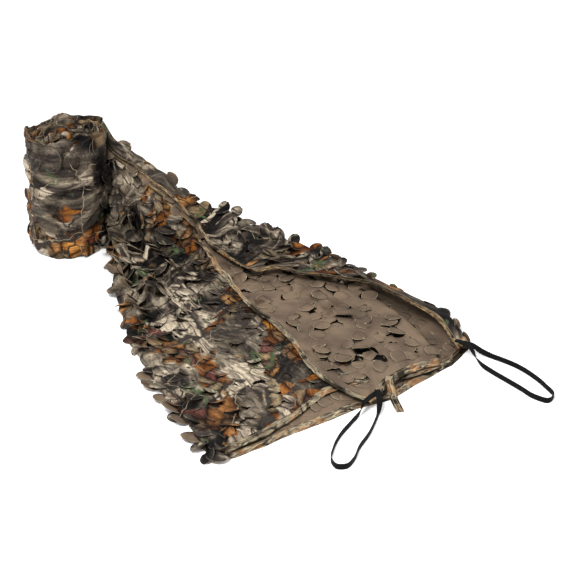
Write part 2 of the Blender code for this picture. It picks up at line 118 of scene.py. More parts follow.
# Where the two long edges of the net and the inner fold lie, as a share of the way from the left
# edge (0) to the right edge (1).
EDGES = (
    # run, brown layer's free edge, inner fold, right flap's free edge
    (0.00, 0.860, 0.965, 0.900),
    (0.20, 0.860, 0.965, 0.900),
    (0.30, 0.850, 0.970, 0.890),
    (0.36, 0.770, 0.970, 0.815),
    (0.42, 0.695, 0.970, 0.740),
    (0.48, 0.640, 0.968, 0.705),
    (0.54, 0.590, 0.965, 0.700),
    (0.60, 0.550, 0.960, 0.775),
    (0.66, 0.535, 0.955, 0.800),
    (0.72, 0.528, 0.950, 0.880),
    (0.78, 0.515, 0.935, 0.935),
    (0.84, 0.480, 0.915, 0.945),
    (0.90, 0.440, 0.885, 0.945),
    (0.95, 0.448, 0.860, 0.945),
    (1.00, 0.515, 0.845, 0.945),
)
BROWN_EDGE, INNER_FOLD, FLAP_EDGE = 1, 2, 3

# How far each layer's end reaches past (-) or stops short of (+) the straight line between the
# two front corners, metres, against the share of the way across.
END_SHIFTS = {
    0: ((0.0, 0.0), (0.06, -0.016), (0.33, -0.022), (0.50, -0.031), (0.60, -0.047),
        (0.72, -0.036), (0.90, -0.026), (1.0, 0.0)),
    1: ((0.0, -0.002), (0.18, 0.0), (0.28, 0.010), (0.37, 0.034), (0.46, 0.046), (0.52, 0.040),
        (0.60, 0.015), (0.70, -0.012), (0.80, -0.022), (0.85, -0.025)),
    2: ((0.50, -0.056), (0.56, -0.043), (0.63, -0.014), (0.72, -0.008), (0.80, -0.012),
        (0.85, -0.025)),
    3: ((0.90, -0.018), (1.0, 0.0)),
}
END_SHIFT_FROM = 0.84           # the run where the layers' ends start to differ

# Ridges of gathered cloth that run from the roll towards the free end.
RIDGES = (
    # share across at the roll, share across at the end, height, half width, dies out at run
    (0.06, 0.03, 0.024, 0.070, 0.98),
    (0.25, 0.18, 0.040, 0.075, 0.82),
    (0.46, 0.40, 0.034, 0.068, 0.70),
    (0.66, 0.58, 0.026, 0.060, 0.54),
    (0.34, 0.33, 0.006, 0.120, 1.40),
    (0.72, 0.74, 0.005, 0.110, 1.40),
)

# The folded strip from the net's one long edge to the other: a layer at a level of the stack
# between two shares across, or a turn from one level to another at a share.
LAYERS = (
    # kind, level(s), from, to, columns
    ("layer", 2, BROWN_EDGE, INNER_FOLD, 9),
    ("turn", (2, 1), INNER_FOLD, 1, 3),
    ("layer", 1, INNER_FOLD, "left", 20),
    ("turn", (1, 0), "left", -1, 3),
    ("layer", 0, "left", "right", 12),
    ("turn", (0, 3), "right", 1, 4),
    ("layer", 3, "right", FLAP_EDGE, 5),
)
# Each of them in turn, as the number of the mark where it begins, and the cloth's other edge.
BROWN_AT, INNER_TURN_AT, UPPER_AT, LEFT_TURN_AT, LOWEST_AT, RIGHT_TURN_AT, FLAP_AT, LAST_AT = range(8)

# The webbing loops: x, y, height of the middle, how far it stands on edge (0 flat, 1 upright).
LOOPS = {
    "loop_left": (
        (0.406, -0.028, 0.0203, 0.0), (0.386, -0.033, 0.0204, 0.0), (0.366, -0.039, 0.0209, 0.05),
        (0.357, -0.043, 0.0222, 0.15), (0.346, -0.048, 0.0178, 0.45), (0.336, -0.052, 0.0110, 0.8),
        (0.296, -0.068, 0.0069, 1.0), (0.246, -0.090, 0.0069, 1.0), (0.200, -0.120, 0.0069, 1.0),
        (0.170, -0.150, 0.0069, 1.0), (0.166, -0.170, 0.0069, 1.0), (0.181, -0.181, 0.0069, 1.0),
        (0.204, -0.174, 0.0069, 1.0), (0.244, -0.148, 0.0069, 1.0), (0.292, -0.124, 0.0069, 1.0),
        (0.330, -0.100, 0.0069, 1.0), (0.352, -0.085, 0.0085, 0.9), (0.368, -0.073, 0.0150, 0.5),
        (0.382, -0.060, 0.0222, 0.1), (0.396, -0.041, 0.0228, 0.0), (0.409, -0.024, 0.0226, 0.0),
    ),
    "loop_right": (
        (0.690, 0.018, 0.0288, 0.0), (0.699, 0.000, 0.0280, 0.0), (0.707, -0.014, 0.0265, 0.05),
        (0.718, -0.036, 0.0140, 0.6), (0.727, -0.058, 0.0080, 0.95), (0.733, -0.084, 0.0069, 1.0),
        (0.737, -0.124, 0.0069, 1.0), (0.731, -0.176, 0.0069, 1.0), (0.716, -0.226, 0.0069, 1.0),
        (0.697, -0.263, 0.0069, 1.0), (0.674, -0.268, 0.0069, 1.0), (0.664, -0.240, 0.0069, 1.0),
        (0.668, -0.196, 0.0069, 1.0), (0.672, -0.150, 0.0069, 1.0), (0.676, -0.104, 0.0069, 1.0),
        (0.680, -0.074, 0.0080, 0.95), (0.684, -0.052, 0.0145, 0.6), (0.688, -0.034, 0.0280, 0.1),
        (0.690, -0.012, 0.0306, 0.0), (0.692, 0.006, 0.0312, 0.0),
    ),
}

# The spare end of the binding tape, past the left corner of the brown layer, with like columns.
TAIL = (
    (0.470, 0.004, 0.0205, 0.0), (0.460, -0.006, 0.0207, 0.0), (0.448, -0.022, 0.0212, 0.0),
    (0.438, -0.038, 0.0165, 0.0), (0.428, -0.056, 0.0070, 0.0), (0.418, -0.076, 0.0040, 0.0),
    (0.408, -0.096, 0.0020, 0.0),
)


# ---- how the folded cloth lies ----

def unit(ways):
    """The same directions, each of length 1."""
    return ways / np.linalg.norm(ways, axis=-1, keepdims=True)


def run_lengths(points):
    """The length of a line up to each of its points."""
    return np.concatenate([[0.0], np.cumsum(np.linalg.norm(np.diff(points, axis=0), axis=1))])


def kept_up(points, lowest):
    """The points, none of them lower than this."""
    points[..., 2] = np.maximum(points[..., 2], lowest)
    return points


def smooth(rows, column, where):
    """A column of a table on a smooth curve through its rows, at each place in where."""
    places = np.array([row[0] for row in rows])
    values = np.array([row[column] for row in rows])
    slopes = np.gradient(values, places)
    where = np.clip(np.asarray(where, float), places[0], places[-1])
    k = np.clip(np.searchsorted(places, where, side="right") - 1, 0, len(places) - 2)
    span = places[k + 1] - places[k]
    f = (where - places[k]) / span
    start = (1 + 2 * f) * (1 - f) ** 2 * values[k] + f * (1 - f) ** 2 * span * slopes[k]
    end = f * f * (3 - 2 * f) * values[k + 1] + f * f * (f - 1) * span * slopes[k + 1]
    return start + end


def ease(low, high, value):
    """0 below low and 1 above high, with a smooth step between."""
    f = np.clip((value - low) / (high - low), 0.0, 1.0)
    return f * f * (3 - 2 * f)


def bottom_layer(run, across):
    """The lowest layer of the strip, before its ripples."""
    left = np.stack([smooth(STRIP, c, run) for c in LEFT], -1)
    right = np.stack([smooth(STRIP, c, run) for c in RIGHT], -1)
    share = np.asarray(across, float)[..., None]
    point = left + (right - left) * share
    sag = 1.0 + 1.6 * ease(0.05, 0.60, run)
    climb = np.clip(across, 0.0, None) ** sag
    point[..., 2] = left[..., 2] + (right[..., 2] - left[..., 2]) * climb
    return point


def upward(run, across):
    """The strip's own up: towards the camera side at the roll, and straight up on the floor."""
    step = 0.002
    along = bottom_layer(run + step, across) - bottom_layer(run - step, across)
    over = bottom_layer(run, across + step) - bottom_layer(run, across - step)
    return unit(np.cross(along, over))


def gathers(run, across):
    """Height of the ridges that the cloth above the lowest layer is gathered into."""
    height = np.zeros(np.broadcast(run, across).shape)
    for at_roll, at_end, rise, half_width, last in RIDGES:
        middle = at_roll + (at_end - at_roll) * run + 0.018 * np.sin(9.0 * run + 40.0 * at_roll)
        bell = np.exp(-((across - middle) / half_width) ** 2)
        height = height + rise * bell * (1.0 - ease(0.55 * last, last, run))
    near_roll = smooth(STRIP, GATHER, run)
    near_end = ease(0.70, 0.95, run)
    ripple = 0.5 + 0.25 * np.sin(21.0 * run + 9.0 * across) + 0.25 * np.sin(17.0 * across - 8.0 * run)
    return height * np.maximum(near_roll, 0.0) ** 0.7 + 0.0035 * near_end * ripple


def layer_step(run):
    return LAYER_STEP_AT_ROLL + (LAYER_STEP - LAYER_STEP_AT_ROLL) * ease(0.0, 0.12, run)


def stack_height(level, run, across):
    """Height of a layer over the lowest one."""
    step = layer_step(run)
    puff = (smooth(STRIP, FOLD, run) - 3 * step) * ease(0.45, 1.0, across)
    height = level * (step + np.maximum(puff, 0.0) / 3)
    height = height + gathers(run, across) * np.clip(level, 0.0, 1.0)
    brown_curl = 0.007 * np.exp(-((across - smooth(EDGES, BROWN_EDGE, run)) / 0.055) ** 2)
    flap_curl = 0.012 * np.exp(-((across - smooth(EDGES, FLAP_EDGE, run)) / 0.065) ** 2)
    opened = ease(0.32, 0.45, run) * (1.0 - 0.8 * ease(0.84, 0.98, run))
    height = height + brown_curl * opened * np.clip(level - 1.0, 0.0, 1.0)
    return height + flap_curl * opened * np.clip(level - 2.0, 0.0, 1.0)


def end_shift(level, run, across):
    """How far a layer is pulled along the strip near its free end."""
    rows = END_SHIFTS[level]
    shift = np.interp(across, [row[0] for row in rows], [row[1] for row in rows])
    return shift * ease(END_SHIFT_FROM, 1.0, run) ** 1.5


def share_of(edge, run):
    if edge == "left":
        return np.zeros_like(run)
    if edge == "right":
        return np.ones_like(run)
    return smooth(EDGES, edge, run)


def lobes(run, count, start, end):
    """Scallops of the flaps that stick out past a fold, 0 to 1."""
    wave = np.abs(np.sin(math.pi * count * run + 0.7 * np.sin(11.0 * run)))
    return wave * ease(start, start + 0.1, run) * (1.0 - ease(end, end + 0.02, run))


def stacked(level, run, across):
    """A point of one layer, before its end is pulled out of line."""
    rise = upward(run, across) * stack_height(level, run, across)[..., None]
    return bottom_layer(run, across) + rise


def turn_point(levels, edge, side, run, f):
    """A point of the fold between two levels, f from 0 at the first to 1 at the second."""
    share = share_of(edge, run)
    low, high = (stack_height(level, run, share) for level in levels)
    angle = math.pi * f
    height = low + (high - low) * (1 - np.cos(angle)) / 2
    outwards = unit(bottom_layer(run, share) - bottom_layer(run, share - 0.004 * side))
    belly = np.minimum(FOLD_BULGE * np.abs(high - low), FOLD_BULGE_LIMIT)
    if edge == "left":
        belly = belly + LOBE_REACH * lobes(run, 19, 0.14, 0.965)
    elif edge == "right":
        belly = belly + LOBE_REACH * lobes(run, 17, 0.10, 0.90)
    middle = bottom_layer(run, share) + outwards * (belly * np.sin(angle))[..., None]
    point = middle + upward(run, share) * height[..., None]
    shifts = [end_shift(level, run, share) for level in levels]
    point[..., 1] += shifts[0] + (shifts[1] - shifts[0]) * f
    return point


def column_count():
    return sum(row[4] for row in LAYERS)


def cloth_point(column, run):
    """The net's mid surface: column counts from one long edge to the other across all layers."""
    column, run = np.broadcast_arrays(np.asarray(column, float), np.asarray(run, float))
    point = np.zeros(column.shape + (3,))
    first = 0
    for kind, level, start, stop, columns in LAYERS:
        last = first + columns
        inside = (column >= first) & (column <= last)
        first = last
        if not inside.any():
            continue
        f = (column[inside] - (last - columns)) / columns
        r = run[inside]
        if kind == "turn":
            point[inside] = turn_point(level, start, stop, r, f)
            continue
        across = share_of(start, r) + (share_of(stop, r) - share_of(start, r)) * f
        place = stacked(level, r, across)
        place[..., 1] += end_shift(level, r, across)
        point[inside] = place
    point[..., :2] += PLAN_ORIGIN
    return kept_up(point, LAID_HALF)


def route_points(rows, steps):
    """Evenly spaced points on a smooth curve through a route's rows, with its last column."""
    rows = np.array(rows, float)
    table = np.column_stack([run_lengths(rows[:, :3]), rows])
    where = np.linspace(0.0, table[-1, 0], steps + 1)
    return np.stack([smooth(table, c, where) for c in range(1, 5)], -1)


def drift_at(x, y, z):
    """Three smooth random values at a place, each from about -1 to 1."""
    return Vector((noise.noise((x + 9.3, y - 1.5, z - 7.9)), noise.noise((x, y, z)),
                   noise.noise((x + 6.2, y + 11.1, z - 3.1))))


def crumple(points):
    """The creases that all layers share: a smooth drift of space, stronger near the roll."""
    moved = points.copy()
    for k in np.ndindex(points.shape[:-1]):
        x, y, z = points[k].tolist()
        near_roll = min(max((y + 0.10) / 0.50, 0.0), 1.0)
        low = min(z / 0.016, 1.0)
        loose = min(math.hypot(x - at[0], y - at[1]) for at in SEWN_ENDS)
        loose = 1.0 + 0.6 * float(ease(0.04, 0.15, loose))
        drift = Vector((0.0, 0.0, 0.0))
        # how large the creases are, and how far they move it in calm and in rough places
        for size, calm, rough in (
                (0.110, 0.0030, 0.0095), (0.048, 0.0018, 0.0065), (0.022, 0.0008, 0.0030)):
            reach = calm * loose + (rough - calm * loose) * near_roll
            drift += 1.6 * reach * drift_at(x / size, 0.55 * y / size, z / size)
        sway = noise.noise((x / 0.2, y / 0.25, 2.0))
        drift.z += 0.010 * near_roll * math.sin(x / 0.0165 + 3.0 * sway + 1.0) * min(z / 0.05, 1.0)
        hold = min(max((0.60 - y) / 0.12, 0.0), 1.0)
        moved[k] = (x + drift.x * hold, y + 0.6 * drift.y * hold, z + drift.z * hold * low)
    return kept_up(moved, LAID_HALF + 0.0001)


class Cloth:
    """The loose end of the net, laid out flat: s runs across it, 0 at the left fold, v along it."""

    COLUMNS_EACH = 12
    ROWS = 200

    def __init__(self):
        runs = np.linspace(0.0, 1.0, self.ROWS + 1)
        count = column_count()
        columns = np.linspace(0.0, count, count * self.COLUMNS_EACH + 1)
        self.points = crumple(cloth_point(columns[None, :], runs[:, None]))
        steps = np.linalg.norm(np.diff(self.points, axis=1), axis=2)
        lengths = np.concatenate([np.zeros((len(runs), 1)), np.cumsum(steps, axis=1)], axis=1)
        ends = np.cumsum([row[4] for row in LAYERS])
        fold = (ends[LEFT_TURN_AT - 1] + ends[LEFT_TURN_AT]) // 2
        fold = fold * self.COLUMNS_EACH + self.COLUMNS_EACH // 2
        self.s = lengths - lengths[:, fold:fold + 1]
        self.marks = self.s[:, np.concatenate([[0], ends]) * self.COLUMNS_EACH]

    def row_of(self, v):
        return np.clip(v / STRIP_LENGTH, 0.0, 1.0) * self.ROWS

    def mark(self, k, v):
        """Where the k-th layer or turn begins at v."""
        return np.interp(self.row_of(v), np.arange(self.ROWS + 1.0), self.marks[:, k])

    def at(self, s, v):
        s, v = np.broadcast_arrays(np.asarray(s, float), np.asarray(v, float))
        flat_s, rows = s.ravel(), self.row_of(v).ravel()
        low = np.minimum(rows.astype(int), self.ROWS - 1)
        part = (rows - low)[:, None]
        ends = [np.empty((len(rows), 3)), np.empty((len(rows), 3))]
        for row in np.unique(low):
            here = low == row
            for k in (0, 1):
                for axis in range(3):
                    line = self.points[row + k, :, axis]
                    ends[k][here, axis] = np.interp(flat_s[here], self.s[row + k], line)
        return (ends[0] * (1 - part) + ends[1] * part).reshape(s.shape + (3,))

    def frames(self, s, v, step=0.004):
        """Directions across, along and out of the printed face."""
        across = unit(self.at(s + step, v) - self.at(s - step, v))
        along = self.at(s, np.minimum(v + step, STRIP_LENGTH)) - self.at(s, v - step)
        out = unit(np.cross(across, along))
        return across, np.cross(out, across), out


# ---- materials ----

def colour(text):
    """An sRGB hex value as linear red, green and blue."""
    parts = [int(text[k:k + 2], 16) / 255 for k in (1, 3, 5)]
    return (*(c / 12.92 if c <= 0.04045 else ((c + 0.055) / 1.055) ** 2.4 for c in parts), 1.0)


def add(tree, kind, links=(), stops=(), out=None, **settings):
    """One node with its settings, its inputs set or linked by name or place, and its colour stops.

    It gives the node's live output, by name where the first isn't the one that's wanted.
    """
    node = tree.nodes.new(kind)
    for name, value in settings.items():
        setattr(node, name, value)
    for _ in stops[2:]:
        node.color_ramp.elements.new(1.0)
    for element, (place, tint) in zip(node.color_ramp.elements if stops else (), stops):
        element.position = place
        element.color = colour(tint)
    for name, value in dict(links).items():
        sockets = [s for s in node.inputs if s.enabled and name in (s.name, s.identifier)]
        socket = node.inputs[name] if isinstance(name, int) else sockets[0]
        if isinstance(value, bpy.types.NodeSocket):
            tree.links.new(value, socket)
        else:
            socket.default_value = value
    return next((s for s in node.outputs if s.enabled and out in (None, s.name)), None)


def new_material(name, roughness):
    """A dull material, with its node tree, its shader and its place on the flat cloth in metres."""
    material = bpy.data.materials.new(name)
    material.use_nodes = True
    tree = material.node_tree
    shader = tree.nodes["Principled BSDF"]
    shader.inputs["Roughness"].default_value = roughness
    shader.inputs["Specular IOR Level"].default_value = DULL_GLOSS
    return material, tree, shader, add(tree, "ShaderNodeUVMap", uv_map="cloth_metres")


def woodland(tree, place):
    """A woodland print: dim bark and litter, with fallen leaves, sprigs and twigs on it."""
    black, white = "#000000", "#ffffff"
    ridges = ((0.36, "#4a4846"), (0.50, "#a8a49e"), (0.62, white))
    heaped = ((0.590, black), (0.615, white))
    veined = ((0.40, "#a59d94"), (0.55, white))
    branching = ((0.50, black), (0.55, white))
    tones = {}
    for name, shift, turn, drawn, scale, detail, bend, stops in (
            # big soft patches, from near black to pale tan
            ("patches", (0, 0), 0.0, (1, 1), 6.5, 5.0, 0.8, (
                (0.35, "#0c0b0b"), (0.44, "#262320"), (0.505, "#534b44"), (0.57, "#887d6f"),
                (0.64, "#bfb49f"))),
            # bark, its ridges drawn out one way, then the other
            ("bark", (0, 0), 0.5, (48, 9), 1.0, 4.0, 0.7, ridges),
            ("more bark", (4, 6), -0.7, (75, 16), 1.0, 4.0, 0.7, ridges),
            # pale bark, and the places where it shows
            ("pale bark", (2, 8), 0.35, (60, 8), 1.0, 4.0, 0.9, (
                (0.35, "#3a332c"), (0.46, "#82766a"), (0.56, "#b5a993"), (0.66, "#cdc2ad"))),
            ("pale places", (7, 2), 0.0, (1, 1), 5.5, 3.0, 1.0, ((0.555, black), (0.60, white))),
            # heaps of large and of small fallen leaves, and the veins of each
            ("large heaps", (1, 9), 0.0, (1, 1), 4.6, 3.0, 0.8, heaped),
            ("small heaps", (5, 3), 0.0, (1, 1), 4.6, 3.0, 0.8, heaped),
            ("large veins", (1, 9), 1.1, (108, 24), 1.0, 2.0, 0.0, veined),
            ("small veins", (5, 3), 1.1, (225, 50), 1.0, 2.0, 0.0, veined),
            # green sprigs, few and small, and their needles
            ("sprigs", (11, 5), 0.0, (1, 1), 8.5, 2.0, 0.5, ((0.665, black), (0.70, white))),
            ("needles", (0, 0), -0.9, (190, 45), 1.0, 1.0, 0.0, ((0.42, black), (0.52, white))),
            # where the three sorts of twig show
            ("thick", (2, 3), 0.0, (1, 1), 4.5, 1.0, 0.0, branching),
            ("dark", (8, 4), 0.0, (1, 1), 4.5, 1.0, 0.0, branching),
            ("pale", (6, 1), 0.0, (1, 1), 4.5, 1.0, 0.0, branching),
            # fine grain, as in a printed photograph
            ("grain", (0, 0), 0.0, (1, 1), 190.0, 3.0, 0.0, ((0.3, "#a0a0a0"), (0.6, white)))):
        at = add(tree, "ShaderNodeMapping", {
            "Vector": place, "Location": (*shift, 0), "Rotation": (0, 0, turn), "Scale": (*drawn, 1)})
        cloud = add(tree, "ShaderNodeTexNoise", {
            "Vector": at, "Scale": scale, "Detail": detail, "Roughness": 0.6, "Distortion": bend},
            noise_dimensions="2D")
        tones[name] = add(tree, "ShaderNodeValToRGB", {"Fac": cloud}, stops)

    layers = [(0.62, tones["bark"], "MULTIPLY"), (0.62, tones["more bark"], "MULTIPLY"),
              (tones["pale places"], tones["pale bark"], "MIX")]
    masks = [(tones["sprigs"], tones["needles"], "#48583a")]
    for name, scale, shift, bend_scale, reach, wide, tint in (
            # leaves lie in bent cells, 40 to 80 mm large; twigs run along the edges of larger ones
            ("large", 12.0, (1, 9), 10.8, 0.55 / 12.0, None, None),
            ("small", 25.0, (5, 3), 22.5, 0.55 / 25.0, None, None),
            ("thick", 5.5, (2, 3), 16.0, 0.05, 0.020, "#38322d"),
            ("dark", 9.0, (8, 4), 16.0, 0.05, 0.012, "#2c2723"),
            ("pale", 8.0, (6, 1), 16.0, 0.05, 0.005, "#8b806c")):
        at = add(tree, "ShaderNodeMapping", {"Vector": place, "Location": (*shift, 0)})
        drift = add(tree, "ShaderNodeTexNoise", {
            "Vector": at, "Scale": bend_scale, "Detail": 2.0, "Roughness": 0.6},
            out="Color", noise_dimensions="2D")
        bent = add(tree, "ShaderNodeVectorMath", {0: drift, 1: (reach, reach, 0.0), 2: at},
                   operation="MULTIPLY_ADD")
        cells = {"Vector": bent, "Scale": scale, "Randomness": 1.0}
        edge = add(tree, "ShaderNodeTexVoronoi", cells, voronoi_dimensions="2D",
                   feature="DISTANCE_TO_EDGE")
        if tint:
            line = add(tree, "ShaderNodeValToRGB", {"Fac": edge}, ((wide, white), (wide * 2.2, black)))
            masks.append((line, tones[name], tint))
            continue
        cell = add(tree, "ShaderNodeTexVoronoi", cells, out="Color", voronoi_dimensions="2D")
        leaf = add(tree, "ShaderNodeValToRGB", {
            "Fac": add(tree, "ShaderNodeSeparateColor", {"Color": cell})}, (
            (0.0, "#5f3b22"), (0.20, "#b0702f"), (0.38, "#857a63"), (0.55, "#cf9044"),
            (0.72, "#a99b7d"), (0.88, "#6f665a"), (1.0, "#7d4540")))
        shade = add(tree, "ShaderNodeValToRGB", {"Fac": edge}, (
            (0.0, "#1d1814"), (0.07, "#8c8078"), (0.22, "#d8d2cc"), (0.5, white)))
        for share, tone in ((1.0, shade), (0.7, tones[name + " veins"])):
            leaf = add(tree, "ShaderNodeMix", {"Factor": share, "A": leaf, "B": tone},
                       data_type="RGBA", blend_type="MULTIPLY")
        layers.append((tones[name + " heaps"], leaf, "MIX"))
    for first, second, tint in masks:
        both = add(tree, "ShaderNodeMix", {"Factor": 1.0, "A": first, "B": second},
                   data_type="RGBA", blend_type="MULTIPLY")
        layers.append((both, colour(tint), "MIX"))
    layers += [(0.55, tones["grain"], "MULTIPLY"), (1.0, colour("#eae6e3"), "MULTIPLY")]

    picture = tones["patches"]
    for share, over, blend in layers:
        picture = add(tree, "ShaderNodeMix", {"Factor": share, "A": picture, "B": over},
                      data_type="RGBA", blend_type=blend)
    return picture


def fray_and_edge_highlight(tree, picture, stops, tint):
    """The cut edge of a flap as a pale line: pale fray threads on the brown back, and a painted
    highlight along the printed face's edge.
    """
    edge = add(tree, "ShaderNodeAttribute", out="Fac", attribute_name="outline")
    line = add(tree, "ShaderNodeValToRGB", {"Fac": edge}, stops)
    return add(tree, "ShaderNodeMix", {"Factor": line, "A": picture, "B": colour(tint)},
               data_type="RGBA")


def creased(tree, shader, place, folds, bend, strength, depth, unevenness):
    """Sharp folds of the cloth, and its own unevenness between them."""
    creases = add(tree, "ShaderNodeTexNoise", {
        "Vector": place, "Scale": folds, "Detail": 2.0, "Distortion": bend},
        noise_dimensions="2D", noise_type="RIDGED_MULTIFRACTAL")
    uneven = add(tree, "ShaderNodeTexNoise", {
        "Vector": place, "Scale": unevenness, "Detail": 3.0}, noise_dimensions="2D")
    sharp = add(tree, "ShaderNodeBump", {
        "Strength": strength, "Distance": depth, "Height": creases})
    bump = add(tree, "ShaderNodeBump", {
        "Strength": 0.35, "Distance": 0.002, "Height": uneven, "Normal": sharp})
    tree.links.new(bump, shader.inputs["Normal"])
    return creases


def printed_polyester():
    """Printed woven polyester: matt, creased every 20 to 40 mm."""
    material, tree, shader, place = new_material("printed_polyester", 0.62)
    # the pale line round each printed flap's cut edge is a painted highlight
    picture = fray_and_edge_highlight(tree, woodland(tree, place), ((0.86, "#000000"), (0.95, "#8c8c8c")), "#9a9183")
    tree.links.new(picture, shader.inputs["Base Color"])
    creased(tree, shader, place, 24.0, 0.6, 0.5, 0.0025, 85.0)
    return material


def plain_back():
    """The net's unprinted back: matt, in a taupe brown dye, with pale fray threads at its cut edges and
    painted shade in the depth of its creases.
    """
    material, tree, shader, place = new_material("plain_cloth_back", 0.78)
    tone = add(tree, "ShaderNodeTexNoise", {"Vector": place, "Scale": 14.0, "Detail": 4.0},
               noise_dimensions="2D")
    back_colour = add(tree, "ShaderNodeValToRGB", {"Fac": tone}, ((0.35, "#53463b"), (0.65, "#6b5b4b")))
    # pale fray threads along the cut edges of the brown flaps
    back_colour = fray_and_edge_highlight(tree, back_colour, ((0.86, "#000000"), (0.94, "#ffffff")), "#a3957a")
    creases = creased(tree, shader, place, 17.0, 0.9, 0.6, 0.006, 60.0)
    # painted shade: the ridged crease noise darkens the colour along the creases
    depth = add(tree, "ShaderNodeValToRGB", {"Fac": creases}, ((0.22, "#ffffff"), (0.60, "#c4beb8")))
    back_colour = add(tree, "ShaderNodeMix", {"Factor": 1.0, "A": back_colour, "B": depth},
               data_type="RGBA", blend_type="MULTIPLY")
    tree.links.new(back_colour, shader.inputs["Base Color"])
    return material


def printed_tape():
    """Polyester binding tape in a bark print: streaks along it, with warm and with dark places,
    darkened where its place along it is low: painted shade near the roll, and a dimmer tone towards the
    right tape's far corner.
    """
    material, tree, shader, place = new_material("printed_binding_tape", 0.7)
    drawn = add(tree, "ShaderNodeMapping", {"Vector": place, "Scale": (38.0, 150.0, 1.0)})
    streaks = add(tree, "ShaderNodeTexNoise", {
        "Vector": drawn, "Scale": 1.0, "Detail": 4.0, "Distortion": 1.2}, noise_dimensions="2D")
    places = add(tree, "ShaderNodeTexNoise", {
        "Vector": place, "Scale": 11.0, "Detail": 4.0, "Distortion": 0.8}, noise_dimensions="2D")
    along = add(tree, "ShaderNodeSeparateXYZ", {"Vector": place})
    # the ramp along the tape darkens its low end: painted shade where the side tapes run in to the roll
    bark, dark, warm, painted_dimming = (
        add(tree, "ShaderNodeValToRGB", {"Fac": value}, stops) for value, stops in (
            (streaks, ((0.34, "#27221d"), (0.45, "#52483d"), (0.56, "#7b705b"), (0.70, "#9d9177"))),
            (places, ((0.38, "#5f5a56"), (0.47, "#ffffff"))),
            (places, ((0.56, "#000000"), (0.64, "#9a9a9a"))),
            (along, ((0.04, "#8a8076"), (0.12, "#e6d2bd"), (0.40, "#e2d6c8"), (0.50, "#ffffff")))))
    picture = bark
    for share, over, blend in ((1.0, dark, "MULTIPLY"), (warm, colour("#9a6432"), "MIX"),
                               (1.0, painted_dimming, "MULTIPLY")):
        picture = add(tree, "ShaderNodeMix", {"Factor": share, "A": picture, "B": over},
                      data_type="RGBA", blend_type=blend)
    tree.links.new(picture, shader.inputs["Base Color"])
    return material


def woven_webbing():
    """Black polypropylene webbing, woven, with a low gleam."""
    material, tree, shader, place = new_material("woven_black_webbing", 0.75)
    shader.inputs["Base Color"].default_value = colour("#0a0a0b")
    # ribs 1.6 mm apart, coarser than the real weave so that they show
    ribs = add(tree, "ShaderNodeTexWave", {"Vector": place, "Scale": 200.0, "Distortion": 0.4},
               out="Fac", bands_direction="X")
    bump = add(tree, "ShaderNodeBump", {"Strength": 0.4, "Distance": 0.0006, "Height": ribs})
    tree.links.new(bump, shader.inputs["Normal"])
    return material


def sewing_thread(name, tint):
    """Spun polyester thread, matt."""
    material, _, shader, _ = new_material(name, 0.8)
    shader.inputs["Base Color"].default_value = colour(tint)
    return material


# ---- meshes ----

def make_object(name, mesh, materials):
    """An object in the scene, with its materials in their slots."""
    for material in materials:
        mesh.materials.append(material)
    thing = bpy.data.objects.new(name, mesh)
    bpy.context.scene.collection.objects.link(thing)
    return thing


def sheet_mesh(name, points, places, keep=None):
    """A grid of faces through points[row, column], with its place on the flat cloth as its UV."""
    rows, columns = points.shape[:2]
    index = np.arange(rows * columns).reshape(rows, columns)
    faces = np.stack([index[:-1, :-1], index[:-1, 1:], index[1:, 1:], index[1:, :-1]], -1)
    faces = faces.reshape(-1, 4)
    if keep is not None:
        faces = faces[keep.ravel()]
    used, renumbered = np.unique(faces, return_inverse=True)
    faces = renumbered.reshape(faces.shape)
    mesh = bpy.data.meshes.new(name)
    mesh.from_pydata(points.reshape(-1, 3)[used].tolist(), [], faces.tolist())
    layer = mesh.uv_layers.new(name="cloth_metres")
    flat = places.reshape(-1, 2)[used]
    layer.data.foreach_set("uv", flat[faces.ravel()].ravel())
    mesh.shade_smooth()
    return mesh


def with_wall(thing, thickness, back_slot=0):
    """Gives a sheet its thickness, its back in the next material slot, as a plain mesh."""
    wall = thing.modifiers.new("thickness", "SOLIDIFY")
    wall.thickness = thickness
    wall.offset = 0.0
    wall.material_offset = back_slot
    return made_plain(thing)


def made_plain(thing):
    """Replaces the object's mesh by what its modifiers make of it."""
    graph = bpy.context.evaluated_depsgraph_get()
    mesh = bpy.data.meshes.new_from_object(
        thing.evaluated_get(graph), preserve_all_data_layers=True, depsgraph=graph)
    thing.modifiers.clear()
    thing.data = mesh
    return thing


# ---- die-cut leaves ----

def leaf_half_width(y):
    """Half the width of a die-cut flap at y, its root at 0 and its tip at 1."""
    return LEAF_WIDE / 2 * math.sqrt(max(1.0 - ((y - LEAF_BELLY) / (
        1.0 - LEAF_BELLY if y > LEAF_BELLY else LEAF_LOWER)) ** 2, 0.0))


